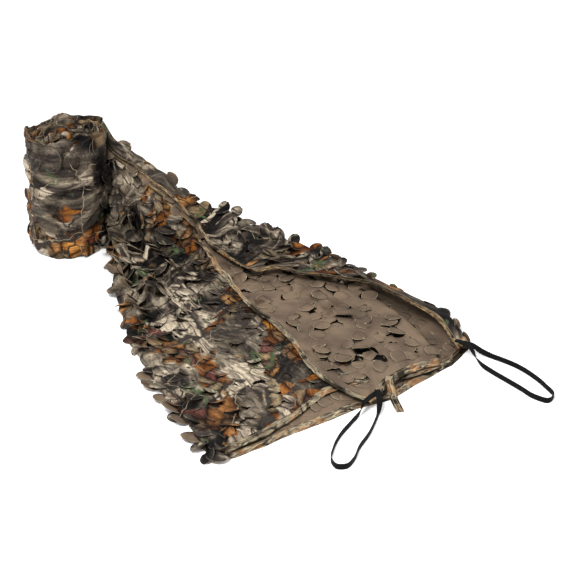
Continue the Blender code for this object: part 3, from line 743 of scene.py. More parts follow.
def leaf_template(name, curl, cup, twist, ragged):
    """One flap in its printed and its back face, a few dozen faces, on a root of unit length."""
    columns, heights = 4, (0.0, 0.22, 0.44, 0.65, 0.84, 0.975)
    half = 0.005                    # its half thickness, as a share of its length
    shape = bmesh.new()
    bmesh.ops.create_grid(shape, x_segments=columns, y_segments=len(heights) - 1, size=1.0)
    flat = shape.verts.layers.float_vector.new("leaf_place")
    outline = shape.verts.layers.float.new("outline")
    back = shape.faces.layers.int.new("is_back")
    for point in shape.verts:
        side = point.co.x
        number = round((point.co.y + 1.0) / 2.0 * (len(heights) - 1))
        y = heights[number]
        wide = leaf_half_width(y) * (1.0 + ragged * math.sin(5.0 * number + 3.0 * side))
        y *= 1.0 + ragged * math.sin(4.0 * side + 9.0 * ragged)
        point[flat] = (side * wide, y, 0.0)
        point[outline] = 1.0 if abs(side) > 0.99 or number == len(heights) - 1 else 0.0
        bend = curl * y * y + cup * side * side * wide + twist * side * wide * y
        point.co = (side * wide, y - 0.35 * abs(curl) * y ** 2, bend + half)
    made = bmesh.ops.duplicate(shape, geom=shape.verts[:] + shape.edges[:] + shape.faces[:])
    under = [g for g in made["geom"] if isinstance(g, bmesh.types.BMFace)]
    for point in [g for g in made["geom"] if isinstance(g, bmesh.types.BMVert)]:
        point.co.z -= 2 * half
    for face in under:
        face[back] = 1
    bmesh.ops.reverse_faces(shape, faces=under)
    bmesh.ops.bridge_loops(shape, edges=[e for e in shape.edges if e.is_boundary])
    for face in shape.faces:
        face.smooth = True
    mesh = bpy.data.meshes.new(name)
    shape.to_mesh(mesh)
    shape.free()
    return bpy.data.objects.new(name, mesh)


def new_tree(name, *sockets):
    """A tree of geometry nodes, the identifiers of its named sockets, and what it is given."""
    tree = bpy.data.node_groups.new(name, "GeometryNodeTree")
    names = {label: tree.interface.new_socket(
        name=label, in_out=way, socket_type="NodeSocket" + kind).identifier
        for label, way, kind in sockets}
    return tree, names, tree.nodes.new("NodeGroupInput").outputs


def grown(name, at, values, tree, sockets, sizes):
    """What a tree makes on points that carry the values it reads, as a plain mesh."""
    mesh = bpy.data.meshes.new(name)
    mesh.from_pydata(at, [], [])
    for label, rows in values.items():
        kind = {"lie": "QUATERNION", "root_place": "FLOAT_VECTOR"}.get(label, "FLOAT")
        field = "vector" if kind == "FLOAT_VECTOR" else "value"
        mesh.attributes.new(label, kind, "POINT").data.foreach_set(field, np.ravel(rows))
    thing = make_object(name, mesh, ())
    nodes = thing.modifiers.new(tree.name, "NODES")
    nodes.node_group = tree
    for label, value in sizes.items():
        nodes[sockets[label]] = value
    made_plain(thing)
    for label in (*values, "leaf_place", "is_back"):
        if label in thing.data.attributes:
            thing.data.attributes.remove(thing.data.attributes[label])
    return thing


def leaf_tree(leaves, face, reverse):
    """Geometry nodes: a leaf on every root, tilted, curled and sized as the root says."""
    tree, sockets, given = new_tree(
        "leaf_flaps", ("Roots", "INPUT", "Geometry"), ("Leaf length", "INPUT", "Float"),
        ("Tilt spread", "INPUT", "Float"), ("Seed", "INPUT", "Int"),
        ("Leaves", "OUTPUT", "Geometry"))
    said = {name: add(tree, "GeometryNodeInputNamedAttribute", {"Name": name}, data_type=kind)
            for name, kind in (
                ("lie", "QUATERNION"), ("lift", "FLOAT"), ("size", "FLOAT"), ("bend", "FLOAT"),
                ("turn", "FLOAT"), ("root_place", "FLOAT_VECTOR"), ("leaf_place", "FLOAT_VECTOR"),
                ("is_back", "BOOLEAN"))}
    # by chance: which leaf it is, and how far it tilts and sways either way
    widest = given["Tilt spread"]
    least = add(tree, "ShaderNodeMath", {0: widest, 1: -1.0}, operation="MULTIPLY")
    drawn = []
    for step, kind, low, high in (
            (0.0, "INT", 0, len(leaves.objects) - 1), (1.0, "FLOAT", least, widest),
            (2.0, "FLOAT", least, widest)):
        seed = add(tree, "ShaderNodeMath", {0: given["Seed"], 1: step}, operation="ADD")
        drawn.append(add(tree, "FunctionNodeRandomValue", {"Min": low, "Max": high, "Seed": seed},
                         data_type=kind))
    pick, wobble, sway = drawn
    tilt = add(tree, "ShaderNodeMath", {0: said["lift"], 1: wobble}, operation="ADD")
    turn = add(tree, "ShaderNodeCombineXYZ", {"X": tilt, "Y": sway})
    turned = add(tree, "FunctionNodeRotateRotation", {
        0: said["lie"], 1: add(tree, "FunctionNodeEulerToRotation", {"Euler": turn})},
        rotation_space="LOCAL")
    length = add(tree, "ShaderNodeMath", {0: said["size"], 1: given["Leaf length"]},
                 operation="MULTIPLY")
    tall = add(tree, "ShaderNodeMath", {0: length, 1: said["bend"]}, operation="MULTIPLY")
    size = add(tree, "ShaderNodeCombineXYZ", {"X": length, "Y": length, "Z": tall})
    kinds = add(tree, "GeometryNodeCollectionInfo", {
        "Collection": leaves, "Separate Children": True, "Reset Children": True})
    placed = add(tree, "GeometryNodeInstanceOnPoints", {
        "Points": given["Roots"], "Instance": kinds, "Pick Instance": True,
        "Instance Index": pick, "Rotation": turned, "Scale": size})
    real = add(tree, "GeometryNodeRealizeInstances", {"Geometry": placed})
    # the print runs on from the cloth beside it: the leaf's flat place, turned about its root
    flat = add(tree, "ShaderNodeVectorMath", {"Vector": said["leaf_place"], "Scale": length},
               operation="SCALE")
    spun = add(tree, "ShaderNodeVectorRotate", {"Vector": flat, "Angle": said["turn"]},
               rotation_type="Z_AXIS")
    place = add(tree, "ShaderNodeVectorMath", {0: spun, 1: said["root_place"]}, operation="ADD")
    stored = add(tree, "GeometryNodeStoreNamedAttribute", {
        "Geometry": real, "Name": "cloth_metres", "Value": place},
        data_type="FLOAT2", domain="CORNER")
    printed = add(tree, "GeometryNodeSetMaterial", {"Geometry": stored, "Material": face})
    plain = add(tree, "GeometryNodeSetMaterial", {
        "Geometry": printed, "Material": reverse, "Selection": said["is_back"]})
    add(tree, "NodeGroupOutput", {0: plain})
    return tree, sockets


def grow_leaves(name, roots, tree, sockets, spread, seed):
    """Leaves on roots, each a dict of its place and of what the tree reads there."""
    return grown(
        name, [root["at"] for root in roots],
        {label: [root[label] for root in roots]
         for label in ("lie", "lift", "size", "turn", "bend", "root_place")},
        tree, sockets, {"Leaf length": LEAF_LENGTH, "Tilt spread": spread, "Seed": seed})


def kept_above_floor(thing):
    """Flattens what would reach through the floor against it."""
    soft, near_floor = 0.0009, 0.012
    mesh = thing.data
    places = np.empty(len(mesh.vertices) * 3)
    mesh.vertices.foreach_get("co", places)
    places = places.reshape(-1, 3)
    low = places[:, 2] < near_floor
    places[low, 2] = soft * np.log1p(np.exp(places[low, 2] / soft))
    mesh.vertices.foreach_set("co", places.ravel())
    mesh.update()


def lie_of(tip, out):
    """The rotation that turns a leaf's tip way and printed side to these directions."""
    side = np.cross(tip, out)
    axes = Matrix((side, tip, out)).transposed()
    return tuple(axes.to_quaternion())


def joined(name, things):
    """Several objects as one, under the first one's name."""
    with bpy.context.temp_override(
            active_object=things[0], selected_editable_objects=things, selected_objects=things):
        bpy.ops.object.join()
    things[0].name = name
    return things[0]


# ---- the loose end ----

def open_share(s, v):
    """How far the leaves of a place stand open, 0 to 1, alike for neighbours."""
    alike = 0.10                    # metres over which they are much the same
    share = noise.noise((s / alike, v / alike, 4.0)) * 0.9 + 0.35
    return min(max(share, 0.0), 1.0)


def cut_plan(cloth, chance):
    """Every die-cut leaf of the loose end: root, way, lift, size and whether it leaves a hole.

    In degrees, a way is 0 across the cloth and 90 towards its free end, and a lift below 0 is off
    the brown side.
    """
    cuts = []

    def cut(s, v, way, lift, size, bend, hole=False):
        cuts.append((s, v, math.radians(way), math.radians(lift), size, bend, hole))

    for line in range(1, int(STRIP_LENGTH / LEAF_PITCH[1]) + 1):
        v0 = line * LEAF_PITCH[1]
        m = [float(cloth.mark(k, v0)) for k in range(LAST_AT + 1)]
        first, last = m[BROWN_AT] + 0.024, m[LAST_AT] - 0.024
        for number in np.arange(math.floor(first / LEAF_PITCH[0]), last / LEAF_PITCH[0] + 1):
            s = (number + 0.5 * (line % 2)) * LEAF_PITCH[0] + chance.uniform(-0.006, 0.006)
            v = v0 + chance.uniform(-0.006, 0.006)
            flip = 180 * (number % 2)
            if not first < s < last or v > STRIP_LENGTH - TAPE_WIDTH - 0.008:
                continue
            steep = 1.0 - ease(0.25, 0.68, v / STRIP_LENGTH)
            size, spread = chance.uniform(0.90, 1.12), open_share(s, v)
            hole, bend = True, 0.7
            if s < m[INNER_TURN_AT]:                        # the brown layer
                way = chance.choice((0, 90, 180, 270)) + chance.uniform(-30, 30)
                if s < m[BROWN_AT] + 0.058:
                    way = chance.uniform(-70, 70)
                lift = -(13 if chance.random() < 0.22 else 1.5) * (0.15 + spread * chance.random())
                size, bend = 1.02 * size, 0.22
                if s > m[BROWN_AT] + 0.05 and chance.random() < 0.12 + 0.30 * spread:
                    sags = chance.random() < 0.45           # these stand open, tips up or hanging in
                    way = (-45 if sags else 135) + chance.uniform(-45, 45)
                    lift = chance.uniform(4, 9) if sags else -chance.uniform(7, 17)
                    bend = 0.5
            elif s < m[LEFT_TURN_AT] - 0.05:                # the printed layer that faces up
                near_fold = 1 - ease(0.03, 0.16, m[LEFT_TURN_AT] - s)
                way = 40 + flip + chance.uniform(-30, 30)
                lift = 0.5 + (20 if chance.random() < 0.35 else 6) * spread * chance.random()
                bend = 0.5
                if steep > 0.2 or near_fold > 0.3:          # hanging in cascades
                    way = chance.uniform(-30, 100)
                    lift = chance.uniform(3, 14) + 38 * max(steep, 0.8 * near_fold) * spread
                    size *= 1.0 + 0.1 * steep + 0.28 * steep * chance.uniform(-1, 1)
                    bend = 1.2
                    hole = chance.random() > 0.6 * steep
            elif s < 0.0:                                   # the left fold, leaves hanging over
                way = chance.uniform(-35, 35) + 15 * (0.30 < v < 0.82)
                lift = chance.uniform(0, 32) + 30 * chance.random() * (1 - ease(0.30, 0.80, v))
                size, bend, hole = 1.08 * size, 1.2, False
            elif s < m[LOWEST_AT] or s < m[RIGHT_TURN_AT] - 0.22 and v < 0.98:
                continue                                    # hidden by the layers above
            elif s < m[RIGHT_TURN_AT]:                      # brown, under the right flap
                way = chance.choice((0, 90, 180, 270)) + chance.uniform(-30, 30)
                lift, hole = -(1.5 + 6 * spread), False
            elif s < m[FLAP_AT]:                            # the right fold
                if v < 0.07:
                    continue
                way = chance.choice((70, 110, 250)) + chance.uniform(-20, 20)
                lift = chance.uniform(1, 7) + 12 * (chance.random() < 0.3) * (0.2 < v < 0.8)
                hole = False
            else:                                           # the right flap
                way = 150 + flip * (s < m[LAST_AT] - 0.055) + chance.uniform(-30, 30)
                lift = 2 + 16 * spread * chance.random()
                bend = 1.0
                if v > 0.3 and chance.random() < 0.5:       # these gape towards the front
                    way = -20 + chance.uniform(-50, 50)
                    lift = chance.uniform(10, 26)
            if v > STRIP_LENGTH - TAPE_WIDTH - 0.04:        # beside the end tape all point away from it
                way = -90 + chance.uniform(-35, 35)
            cut(s, v, way, math.copysign(max(abs(lift), 1.2), lift), size, bend, hole)
    # tongues of the bottom layer that lie out past the left fold, brown side up
    v = 0.78
    while v < 1.09:
        size = chance.uniform(1.1, 1.35)
        cut(float(cloth.mark(LOWEST_AT, v)) - 0.002, v, 180 + chance.uniform(-12, 12),
            -chance.uniform(0, 6), size, 0.5)
        v += chance.uniform(0.044, 0.062)
    # leaves that stand up along the top of the right fold, their brown sides towards the front,
    # and leaves that lie over the two tapes where they run side by side
    for k, v, last, beside, turned, lifts, sizes, step in (
            (FLAP_AT, 0.27, 0.88, (-0.006, 0.012), 35, (8, 46), (0.70, 1.10), (0.026, 0.050)),
            (BROWN_AT, 0.06, 0.40, (0.012, 0.022), 60, (-4, -12), (0.7, 1.0), (0.035, 0.075))):
        while v < last:
            s = float(cloth.mark(k, v)) + chance.uniform(*beside)
            cut(s, v, 180 + chance.uniform(-turned, turned), chance.uniform(*lifts),
                chance.uniform(*sizes), 1.0)
            v += chance.uniform(*step)
    # a row of brown leaves beside the free end of the bottom layer
    for s in np.arange(0.05, float(cloth.mark(RIGHT_TURN_AT, 1.08)), 0.034):
        cut(s, 1.099 + chance.uniform(-0.01, 0.004), -90 + chance.uniform(-50, 50),
            -chance.uniform(2, 9), 0.8, 0.7)
    # leaves at the near corner, over the tape's end
    for s, v, way, lift, size in (
            (-0.014, 1.104, 88.0, 13.0, 1.3), (-0.003, 1.096, 60.0, 16.0, 1.1),
            (-0.004, 1.070, 30.0, 20.0, 1.1), (-0.034, 1.094, 60.0, 17.0, 1.1)):
        cut(s, v, way, lift, size, 0.8)
    # and at the far corner, round the loop's root
    for share, v, way, lift in (
            (0.35, 1.052, 75.0, 12.0), (0.75, 1.075, 110.0, 10.0), (0.55, 1.094, 85.0, 14.0)):
        s = float(cloth.mark(RIGHT_TURN_AT, v) * (1 - share) + cloth.mark(FLAP_AT, v) * share)
        cut(s, v, way, lift, 0.95, 0.9)
    return cuts


def snapped_to_cuts(flat, cuts, cell):
    """Moves grid places that lie near a cut's outline on to it, and says which lie within."""
    within = np.zeros(flat.shape[:2], bool)
    for s, v, way, _, size, _, hole in cuts:
        if not hole:
            continue
        long = LEAF_LENGTH * size * 0.93
        root = np.array((s, v))
        tip = np.array((math.cos(way), math.sin(way)))
        side = np.array((tip[1], -tip[0]))
        near = np.abs(flat - root).max(-1) < 1.4 * long
        if not near.any():
            continue
        away = flat[near] - root
        x, y = away @ side / long, away @ tip / long - LEAF_BELLY
        tall = np.where(y > 0, 1.0 - LEAF_BELLY, LEAF_LOWER)
        reach = np.hypot(x / (LEAF_WIDE / 2), y / tall)
        ahead = y > -0.9 * LEAF_BELLY
        snap = (np.abs(reach - 1.0) * long / 2 < 0.5 * cell) & ahead
        factor = np.where(snap, 1.0 / np.maximum(reach, 0.1), 1.0)
        x, y = x * factor, y * factor
        flat[near] = root + long * (x[:, None] * side + (y + LEAF_BELLY)[:, None] * tip)
        within[near] |= ((reach < 1.0) | snap) & ahead
    return within


def loose_cloth(cloth, cuts, face, reverse):
    """The cloth between its leaves, folded and creased, with an opening for each leaf that leaves a
    hole.
    """
    v = np.linspace(0.0, STRIP_LENGTH - TAPE_WIDTH / 2, 149)
    first, last = cloth.mark(BROWN_AT, v) + TAPE_WIDTH / 2, cloth.mark(LAST_AT, v) - TAPE_WIDTH / 2
    fold, turn = np.zeros_like(v), cloth.mark(RIGHT_TURN_AT, v)
    lines = [low[:, None] + (high - low)[:, None] * np.linspace(0, 1, count, endpoint=False)
             for low, high, count in ((first, fold, 112), (fold, turn, 46), (turn, last, 26))]
    s = np.concatenate(lines + [last[:, None]], axis=1)
    flat = np.stack([s, np.broadcast_to(v[:, None], s.shape)], -1)
    within = snapped_to_cuts(flat, cuts, 0.0076)
    open_face = within[:-1, :-1] & within[1:, :-1] & within[:-1, 1:] & within[1:, 1:]
    points = cloth.at(flat[..., 0], flat[..., 1])
    thing = make_object("net_cloth", sheet_mesh("net_cloth", points, flat, ~open_face), (face, reverse))
    return with_wall(thing, CLOTH_THICK, back_slot=1)


def loose_roots(cloth, cuts):
    """The roots of the loose end's leaves, on its printed or its brown side."""
    s = np.array([cut[0] for cut in cuts])
    v = np.array([cut[1] for cut in cuts])
    at = cloth.at(s, v)
    across, along, out = cloth.frames(s, v)
    roots = []
    for k, (_, _, way, lift, size, bend, _) in enumerate(cuts):
        tip = math.cos(way) * across[k] + math.sin(way) * along[k]
        roots.append({
            "at": at[k] + math.copysign(0.0004, lift) * out[k], "lie": lie_of(tip, out[k]),
            "lift": lift, "size": size, "bend": bend, "turn": way - math.pi / 2,
            "root_place": (s[k], v[k], 0.0)})
    return roots


# ---- the roll ----

def swell(angle, middle, width):
    """1 at an angle on the roll, fading to 0 beside it, on every turn."""
    away = (angle - middle + math.pi) % (2 * math.pi) - math.pi
    return math.exp(-(away / width) ** 2)


def roll_rim(angle):
    """Height of the band's upper rim, ruffled, and falling a little from turn to turn."""
    ruffle = (0.010 * noise.noise((1.3 * angle, 0.0, 3.0))
              + 0.009 * noise.noise((4.1 * angle, 5.0, 0.0)))
    return (ROLL_HEIGHT - 0.004 + 0.005 * math.sin(2 * angle + 0.6) + 0.003 * math.sin(5 * angle + 1.9)
            + ruffle * min(angle, 1.0) - 0.009 * angle / (2 * math.pi)
            + 0.015 * swell(angle, 4.85, 0.55) - 0.012 * swell(angle, 3.70, 0.30))


def ridge(x, y, z):
    """Thin sharp folds that wander: 1 on a fold, 0 between them."""
    return max(0.0, 1.0 - 5.0 * abs(noise.noise((x, y, z))))


def roll_at(angle, height, depth):
    """A point of the wound band; its own creases fade out where the loose end joins."""
    turn = angle / (2 * math.pi)
    level = height / ROLL_HEIGHT
    fade = (1 - math.cos(angle)) / 2
    wave = 0.0024 * math.cos(2 * math.pi * level) + 0.0016 * math.sin(3 * angle + 4.0 * level)
    seen = 0.6 + 0.4 * fade
    way = (1.6 * math.cos(angle), 1.6 * math.sin(angle) + turn)
    drift = 1.6 * drift_at(*way, 14.0 * height)
    fine = 1.6 * drift_at(3 * way[0], 3 * way[1], 34.0 * height)
    flare = 0.009 * level ** 5 * noise.noise((2.2 * way[0], 2.2 * way[1] + 2 * turn, 7.0))
    # creases that run round it, sagging towards the front, and sharp small folds
    slant = level - 0.08 * (1 - math.cos(angle - 4.0)) + 0.06 * drift.z
    crease = sum(reach * math.exp(-abs(slant - at) / wide) for at, reach, wide in (
        (0.17, 0.0050, 0.03), (0.54, 0.0120, 0.040), (0.64, 0.0070, 0.014), (0.84, 0.0040, 0.03)))
    folds = (0.0045 * ridge(1.3 * way[0] + 3, 1.3 * way[1], 17.0 * height)
             - 0.0040 * ridge(1.1 * way[0], 1.1 * way[1] + 8, 24.0 * height)
             + 0.0022 * ridge(3.1 * way[0], 3.1 * way[1], 50.0 * height + 5))
    # the upper part hangs over a gathered waist
    waist = math.exp(-((slant - 0.56) / 0.06) ** 2)
    folds += 0.0028 * waist * math.sin(2 * math.pi * (19 * slant + 0.8 * drift.x) + math.sin(2 * angle))
    folds += 0.0050 * float(ease(0.60, 0.64, slant)) * (1.0 - level)
    lean = (0.013 * level ** 4 * swell(angle, 4.7, 0.8)
            + 0.020 * (1 - level) ** 3 * swell(angle, 2.9, 0.7))
    radius = (ROLL_RADIUS - TURN_PITCH * turn - depth + fade * (wave + flare + folds - lean)
              - seen * crease + seen * 0.0052 * drift.x + 0.0026 * fine.y)
    return (
        PLAN_ORIGIN[0] + ROLL_CENTRE[0] + ROLL_LEAN[0] * level + radius * math.cos(angle),
        PLAN_ORIGIN[1] + ROLL_CENTRE[1] + ROLL_LEAN[1] * level + radius * math.sin(angle),
        max(height, FLOOR_GAP + 0.0001),
    )


def roll_place(angle, height):
    """Where a point of the band lies on the flat cloth, whose length runs round the roll."""
    return (ROLL_PRINT[0] + height, ROLL_PRINT[1] - 0.095 * angle)


def wound_band(face):
    """The folded strip wound up: one soft band with rounded folds along its upper rim."""
    steps = int(92 * ROLL_TURNS)
    outer, inner = 90, 7            # rows up its outer face and down its inner one
    section = [(k / outer, 0.0) for k in range(outer + 1)]
    section += [(1.0 + 0.018 * math.sin(math.pi * k / 5), k / 5) for k in range(1, 5)]
    section += [(1.0 - k / inner, 1.0) for k in range(inner + 1)]
    points = np.zeros((len(section), steps + 1, 3))
    places = np.zeros((len(section), steps + 1, 2))
    for j in range(steps + 1):
        angle = 2 * math.pi * ROLL_TURNS * j / steps
        rim = roll_rim(angle)
        for i, (up, deep) in enumerate(section):
            thick = BAND_THICK * (0.75 + 0.25 * math.sin(math.pi * min(up, 1.0)))
            foot = (0.008 * max(noise.noise((1.7 * angle, 9.0, 0.0)), 0.0)
                    + 0.012 * swell(angle, 2.75, 0.5))      # here and there it stands clear
            foot *= (1.0 - up) ** 4
            points[i, j] = roll_at(angle, up * rim + foot, deep * thick)
            places[i, j] = roll_place(angle, up * rim + 0.03 * deep)
    mesh = sheet_mesh("roll_cloth", points, places)
    thing = make_object("roll_cloth", mesh, (face,))
    shape = bmesh.new()
    shape.from_mesh(mesh)
    bmesh.ops.holes_fill(shape, edges=[e for e in shape.edges if e.is_boundary])
    bmesh.ops.recalc_face_normals(shape, faces=shape.faces)
    shape.to_mesh(mesh)
    shape.free()
    mesh.shade_smooth()
    return thing


def roll_root(angle, height, way, lift, size):
    """The root of a leaf on the roll; its way is 0 round the roll and 90 straight up."""
    at = np.array(roll_at(angle, height, 0.0))
    out = np.array((math.cos(angle), math.sin(angle), 0.0))
    round_it = np.array((-math.sin(angle), math.cos(angle), 0.0))
    way = math.radians(way)
    tip = math.cos(way) * round_it + math.sin(way) * np.array((0.0, 0.0, 1.0))
    return {"at": at + 0.0008 * out, "lie": lie_of(tip, out), "lift": math.radians(lift),
            "size": size, "bend": 0.7, "turn": way + math.pi,
            "root_place": (*roll_place(angle, height), 0.0)}


def roll_roots(chance):
    """Leaves on the outside of the roll, hanging or lying flat, and a few along its rim."""
    roots = []
    for level in range(4):
        for number in range(8):
            angle = 2 * math.pi * (number + 0.5 * (level % 2) + chance.uniform(-0.3, 0.3)) / 8
            height = 0.065 + 0.075 * level + chance.uniform(-0.018, 0.018)
            if angle < 0.25 or angle > 6.1:
                continue
            way = -90 + chance.uniform(-50, 50)
            size = chance.uniform(0.9, 1.6)
            # none of the large ones where the gathered waist shows
            if 0.10 < height < 0.26 and 2.2 < angle < 4.9 and size > 1.15:
                continue
            roots.append(roll_root(angle, height, way, chance.uniform(2, 12), size))
    for number in range(34):
        angle = 0.3 + number * 0.62 + chance.uniform(-0.25, 0.25)
        way = chance.uniform(30, 150)
        roots.append(roll_root(angle, roll_rim(angle) - chance.uniform(0.020, 0.034), way,
                               chance.uniform(-12, 12), chance.uniform(0.8, 1.2)))
    # large ones that hang from the rim, some that stand off it on both sides, some round its foot
    for angle, height, way, lift, size in (
            (3.62, 0.292, -35, 15, 1.75), (3.25, 0.290, -80, 12, 1.5), (4.55, 0.318, -60, 10, 1.6),
            (5.05, 0.320, -100, 9, 1.5), (4.75, 0.215, -20, 10, 1.1), (3.20, 0.190, -110, 12, 1.2),
            (5.55, 0.200, -20, 38, 1.1), (5.65, 0.180, -60, 30, 1.0), (5.50, 0.160, 10, 34, 0.9),
            (5.75, 0.225, 0, 26, 1.0), (2.72, 0.240, 190, 20, 1.2), (2.66, 0.195, 170, 24, 1.1),
            (2.74, 0.150, 200, 20, 1.2), (2.68, 0.105, 185, 18, 1.1), (3.00, 0.070, -60, 12, 1.2),
            (3.45, 0.048, -110, 14, 1.1), (3.85, 0.040, -80, 18, 1.2), (4.30, 0.052, -50, 14, 1.3),
            (4.70, 0.040, -110, 16, 1.2), (5.10, 0.055, -80, 14, 1.2), (4.05, 0.085, -120, 10, 1.2)):
        roots.append(roll_root(angle, height, way, lift, size))
    # leaves of the rim that lean in over the hollow
    for number in range(13):
        angle = 0.4 + number * 2.2 + chance.uniform(-0.3, 0.3)
        root = roll_root(angle, roll_rim(angle) - 0.004, 90, 0.0, chance.uniform(0.7, 1.15))
        inward = np.array((-math.cos(angle + 0.6), -math.sin(angle + 0.6), chance.uniform(-0.5, 0.35)))
        inward = unit(inward)
        root["lie"] = lie_of(inward, unit(np.array((0.0, 0.0, 1.0)) - inward[2] * inward))
        roots.append(root)
    return roots


# ---- tapes ----

def stitch_tree(thread):
    """Geometry nodes: a short bar of thread on every point, turned as the point says."""
    tree, sockets, given = new_tree(
        "stitches", ("Points", "INPUT", "Geometry"), ("Stitch", "INPUT", "Vector"),
        ("Stitches", "OUTPUT", "Geometry"))
    placed = add(tree, "GeometryNodeInstanceOnPoints", {
        "Points": given["Points"],
        "Instance": add(tree, "GeometryNodeMeshCube", {"Size": given["Stitch"]}),
        "Rotation": add(tree, "GeometryNodeInputNamedAttribute", {"Name": "lie"},
                        data_type="QUATERNION")})
    real = add(tree, "GeometryNodeRealizeInstances", {"Geometry": placed})
    sewn = add(tree, "GeometryNodeSetMaterial", {"Geometry": real, "Material": thread})
    add(tree, "NodeGroupOutput", {0: sewn})
    return tree, sockets


def seam(name, lines, lift, tree, sockets):
    """Stitches along lines of (points, directions out of the cloth), a little above them."""
    at, lie = [], []
    for points, outs in lines:
        lengths = run_lengths(points)
        for length in np.arange(STITCH_PITCH, lengths[-1] - STITCH_PITCH / 2, STITCH_PITCH):
            k = min(int(np.searchsorted(lengths, length)), len(points) - 1)
            step = points[k] - points[k - 1]
            long = max(lengths[k] - lengths[k - 1], 1e-9)
            ahead = step / long
            out = unit(outs[k] - (outs[k] @ ahead) * ahead)
            at.append(points[k - 1] + (length - lengths[k - 1]) / long * step + lift * out)
            lie.append(lie_of(ahead, out))
    return grown(name, at, {"lie": lie}, tree, sockets, {"Stitch": STITCH})


def tape(name, points, places, material, thickness, lines, sewing):
    """A tape through points[row, column], sewn on both faces along (column, from row, to row)."""
    strip = make_object(name, sheet_mesh(name, points, places), (material,))
    with_wall(strip, thickness)
    outs = unit(np.cross(np.gradient(points, axis=1), np.gradient(points, axis=0)))
    lines = [(points[low:high, k], way * outs[low:high, k])
             for k, low, high in lines for way in (1, -1)]
    sewn = seam(name + "_seam", lines, thickness / 2 + THREAD_LIFT, *sewing)
    return joined(name, [strip, sewn])


def bindings(cloth, material, sewing):
    """The tapes along the net's two long edges and along its free end."""
    rows, end_rows = 241, 420
    lowest = TAPE_THICK / 2 + FLOOR_GAP
    v = np.linspace(0.0, STRIP_LENGTH, rows)[:, None]
    share = np.linspace(0.0, 1.0, 7)[None, :]
    # the roll draws them together, and they waver a little
    wobble = np.array([[0.0015 * noise.noise((row[0] / 0.05, 0.0, 1.0))] for row in v])
    wide = wobble + TAPE_WIDTH * (0.5 + 0.5 * ease(0.24, 0.5, v / STRIP_LENGTH))
    # the print of both darkens where they run in to the roll, as painted shade; the right one's is dim
    # but in its middle and at its end
    dim = np.maximum(0.48 - 1.5 * np.abs(v - 0.42), 1.5 * (v - 0.92))
    pieces = []
    for name, edge, along, column in (
            ("left_edge_tape", cloth.mark(BROWN_AT, v) + wide * share, v, 5),
            ("right_edge_tape", cloth.mark(LAST_AT, v) - wide * share[:, ::-1], dim, 1)):
        points = kept_up(cloth.at(edge, v + 0 * share), lowest)
        places = np.stack(np.broadcast_arrays(along, share * TAPE_WIDTH), -1)
        pieces.append(tape(name, points, places, material, TAPE_THICK, [(column, 0, rows)], sewing))
    v = np.linspace(STRIP_LENGTH - TAPE_WIDTH, STRIP_LENGTH, 5)[None, :]
    low = cloth.mark(BROWN_AT, v) + TAPE_WIDTH + 0.0006
    high = cloth.mark(LAST_AT, v) - TAPE_WIDTH - 0.0006
    s = high + (low - high) * np.linspace(0.0, 1.0, end_rows)[:, None]
    points = kept_up(cloth.at(s, v + 0 * s), lowest)
    places = np.stack(np.broadcast_arrays(s + 3.0, v), -1)
    pieces.append(tape("end_edge_tape", points, places, material, TAPE_THICK, [(1, 0, end_rows)],
                       sewing))
    return pieces


def ribbon(name, rows, steps, width, thickness, material, lines, sewing):
    """A tape along a route, turned about its own length from flat (0) to on edge (1)."""
    route = route_points(rows, steps)
    ahead = unit(np.gradient(route[:, :3], axis=0))
    side = unit(np.cross((0.0, 0.0, 1.0), ahead))
    turn = route[:, 3:4] * math.pi / 2
    wide = side * np.cos(turn) + np.cross(ahead, side) * np.sin(turn)
    share = np.linspace(-0.5, 0.5, 5)
    points = route[:, None, :3] + wide[:, None, :] * width * share[None, :, None]
    points[..., :2] += PLAN_ORIGIN
    along = run_lengths(route[:, :3])[:, None] + 1.93
    places = np.stack(np.broadcast_arrays(along, (share[None, :] + 0.5) * width), -1)
    return tape(name, kept_up(points, FLOOR_GAP), places, material, thickness, lines, sewing)


# ---- the scene ----

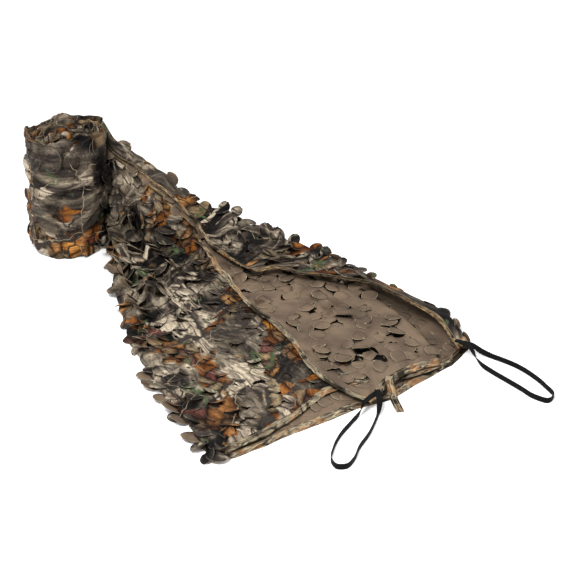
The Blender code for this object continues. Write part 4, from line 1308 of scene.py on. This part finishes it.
def main():
    chance = random.Random(11)
    face, reverse = printed_polyester(), plain_back()
    binding, webbing = printed_tape(), woven_webbing()

    leaves = bpy.data.collections.new("leaf_templates")
    for k, shape in enumerate((
            (0.04, -0.06, 0.05, 0.00), (-0.10, -0.12, -0.12, 0.04), (-0.16, 0.08, 0.10, -0.05),
            (0.10, 0.10, -0.16, 0.05), (-0.05, -0.16, 0.20, -0.03), (-0.26, -0.08, -0.05, 0.02))):
        leaves.objects.link(leaf_template(f"leaf_{k}", *shape))
    tree, sockets = leaf_tree(leaves, face, reverse)

    cloth = Cloth()
    cuts = cut_plan(cloth, chance)
    ground = loose_cloth(cloth, cuts, face, reverse)
    flaps = grow_leaves("loose_leaves", loose_roots(cloth, cuts), tree, sockets, 0.02, 3)
    net = joined("net_cloth", [ground, flaps])
    kept_above_floor(net)

    band = wound_band(face)
    band_leaves = grow_leaves("roll_leaves", roll_roots(chance), tree, sockets, 0.08, 8)
    roll = joined("roll_cloth", [band, band_leaves])
    kept_above_floor(roll)

    sewing = stitch_tree(sewing_thread("tan_thread", "#8d8068"))
    black_sewing = stitch_tree(sewing_thread("black_thread", "#141415"))
    left, right, end = bindings(cloth, binding, sewing)
    tail = ribbon("tape_tail", TAIL, 40, TAPE_WIDTH, TAPE_THICK, binding, [(1, 0, 41), (3, 0, 41)],
                  sewing)
    # sewn only at their two ends
    sewn = [(column, low, high) for column in (1, 3) for low, high in ((0, 9), (142, 151))]
    loops = [ribbon(side + "_webbing_loop", LOOPS["loop_" + side], 150, WEBBING_WIDTH, WEBBING_THICK,
                    webbing, sewn, black_sewing) for side in ("left", "right")]

    for group in (tree, sewing[0], black_sewing[0]):
        bpy.data.node_groups.remove(group)
    for leaf in list(leaves.objects):
        bpy.data.objects.remove(leaf, do_unlink=True)
    bpy.data.collections.remove(leaves)

    for piece, node, slot in (
            (net, "net_sheet", "camo_cloth"), (roll, "net_roll", "camo_cloth"),
            (left, "side_binding_left", "binding_tape"), (right, "side_binding_right", "binding_tape"),
            (end, "end_binding", "binding_tape"), (tail, "binding_tail", "binding_tape"),
            (loops[0], "loop_left", "black_webbing"), (loops[1], "loop_right", "black_webbing")):
        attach(piece, "root")
        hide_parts(node)


def studio():
    """White paper floor, soft light all round and one large soft lamp, and the photo's camera."""
    paper = bpy.data.materials.new("white_paper")
    paper.use_nodes = True
    for label, value in (("Base Color", colour("#fbfbfb")), ("Roughness", 0.9)):
        paper.node_tree.nodes["Principled BSDF"].inputs[label].default_value = value
    bpy.ops.mesh.primitive_plane_add(size=30.0)
    floor = bpy.context.object
    floor.name = "floor"
    floor.data.materials.append(paper)

    world = bpy.data.worlds.new("studio")
    world.use_nodes = True
    world.node_tree.nodes["Background"].inputs["Color"].default_value = (1.0, 1.0, 1.0, 1.0)
    world.node_tree.nodes["Background"].inputs["Strength"].default_value = 1.0
    bpy.context.scene.world = world

    def placed(name, data, at, ahead):
        thing = bpy.data.objects.new(name, data)
        thing.location = at
        thing.rotation_euler = ahead.to_track_quat("-Z", "Y").to_euler()
        bpy.context.scene.collection.objects.link(thing)
        return thing

    for name, at, size, power in (
            ("key", (-1.7, -1.0, 2.5), 1.0, 110.0), ("fill", (1.8, -1.8, 2.0), 2.0, 12.0)):
        lamp = bpy.data.lights.new(name, "AREA")
        lamp.energy = power
        lamp.size = size
        placed(name, lamp, at, Vector((0.0, 0.0, 0.1)) - Vector(at))

    lens = bpy.data.cameras.new("camera")
    lens.lens = 77.6
    lens.sensor_width = 36.0
    turn, tip = math.radians(39.68), math.radians(25.5)
    ahead = Vector((math.sin(turn) * math.cos(tip), math.cos(turn) * math.cos(tip), -math.sin(tip)))
    camera = placed("camera", lens, (PLAN_ORIGIN[0] - 1.198, PLAN_ORIGIN[1] - 1.672, 1.35), ahead)
    bpy.context.scene.camera = camera
    bpy.context.scene.view_settings.view_transform = "Standard"


main()
studio()
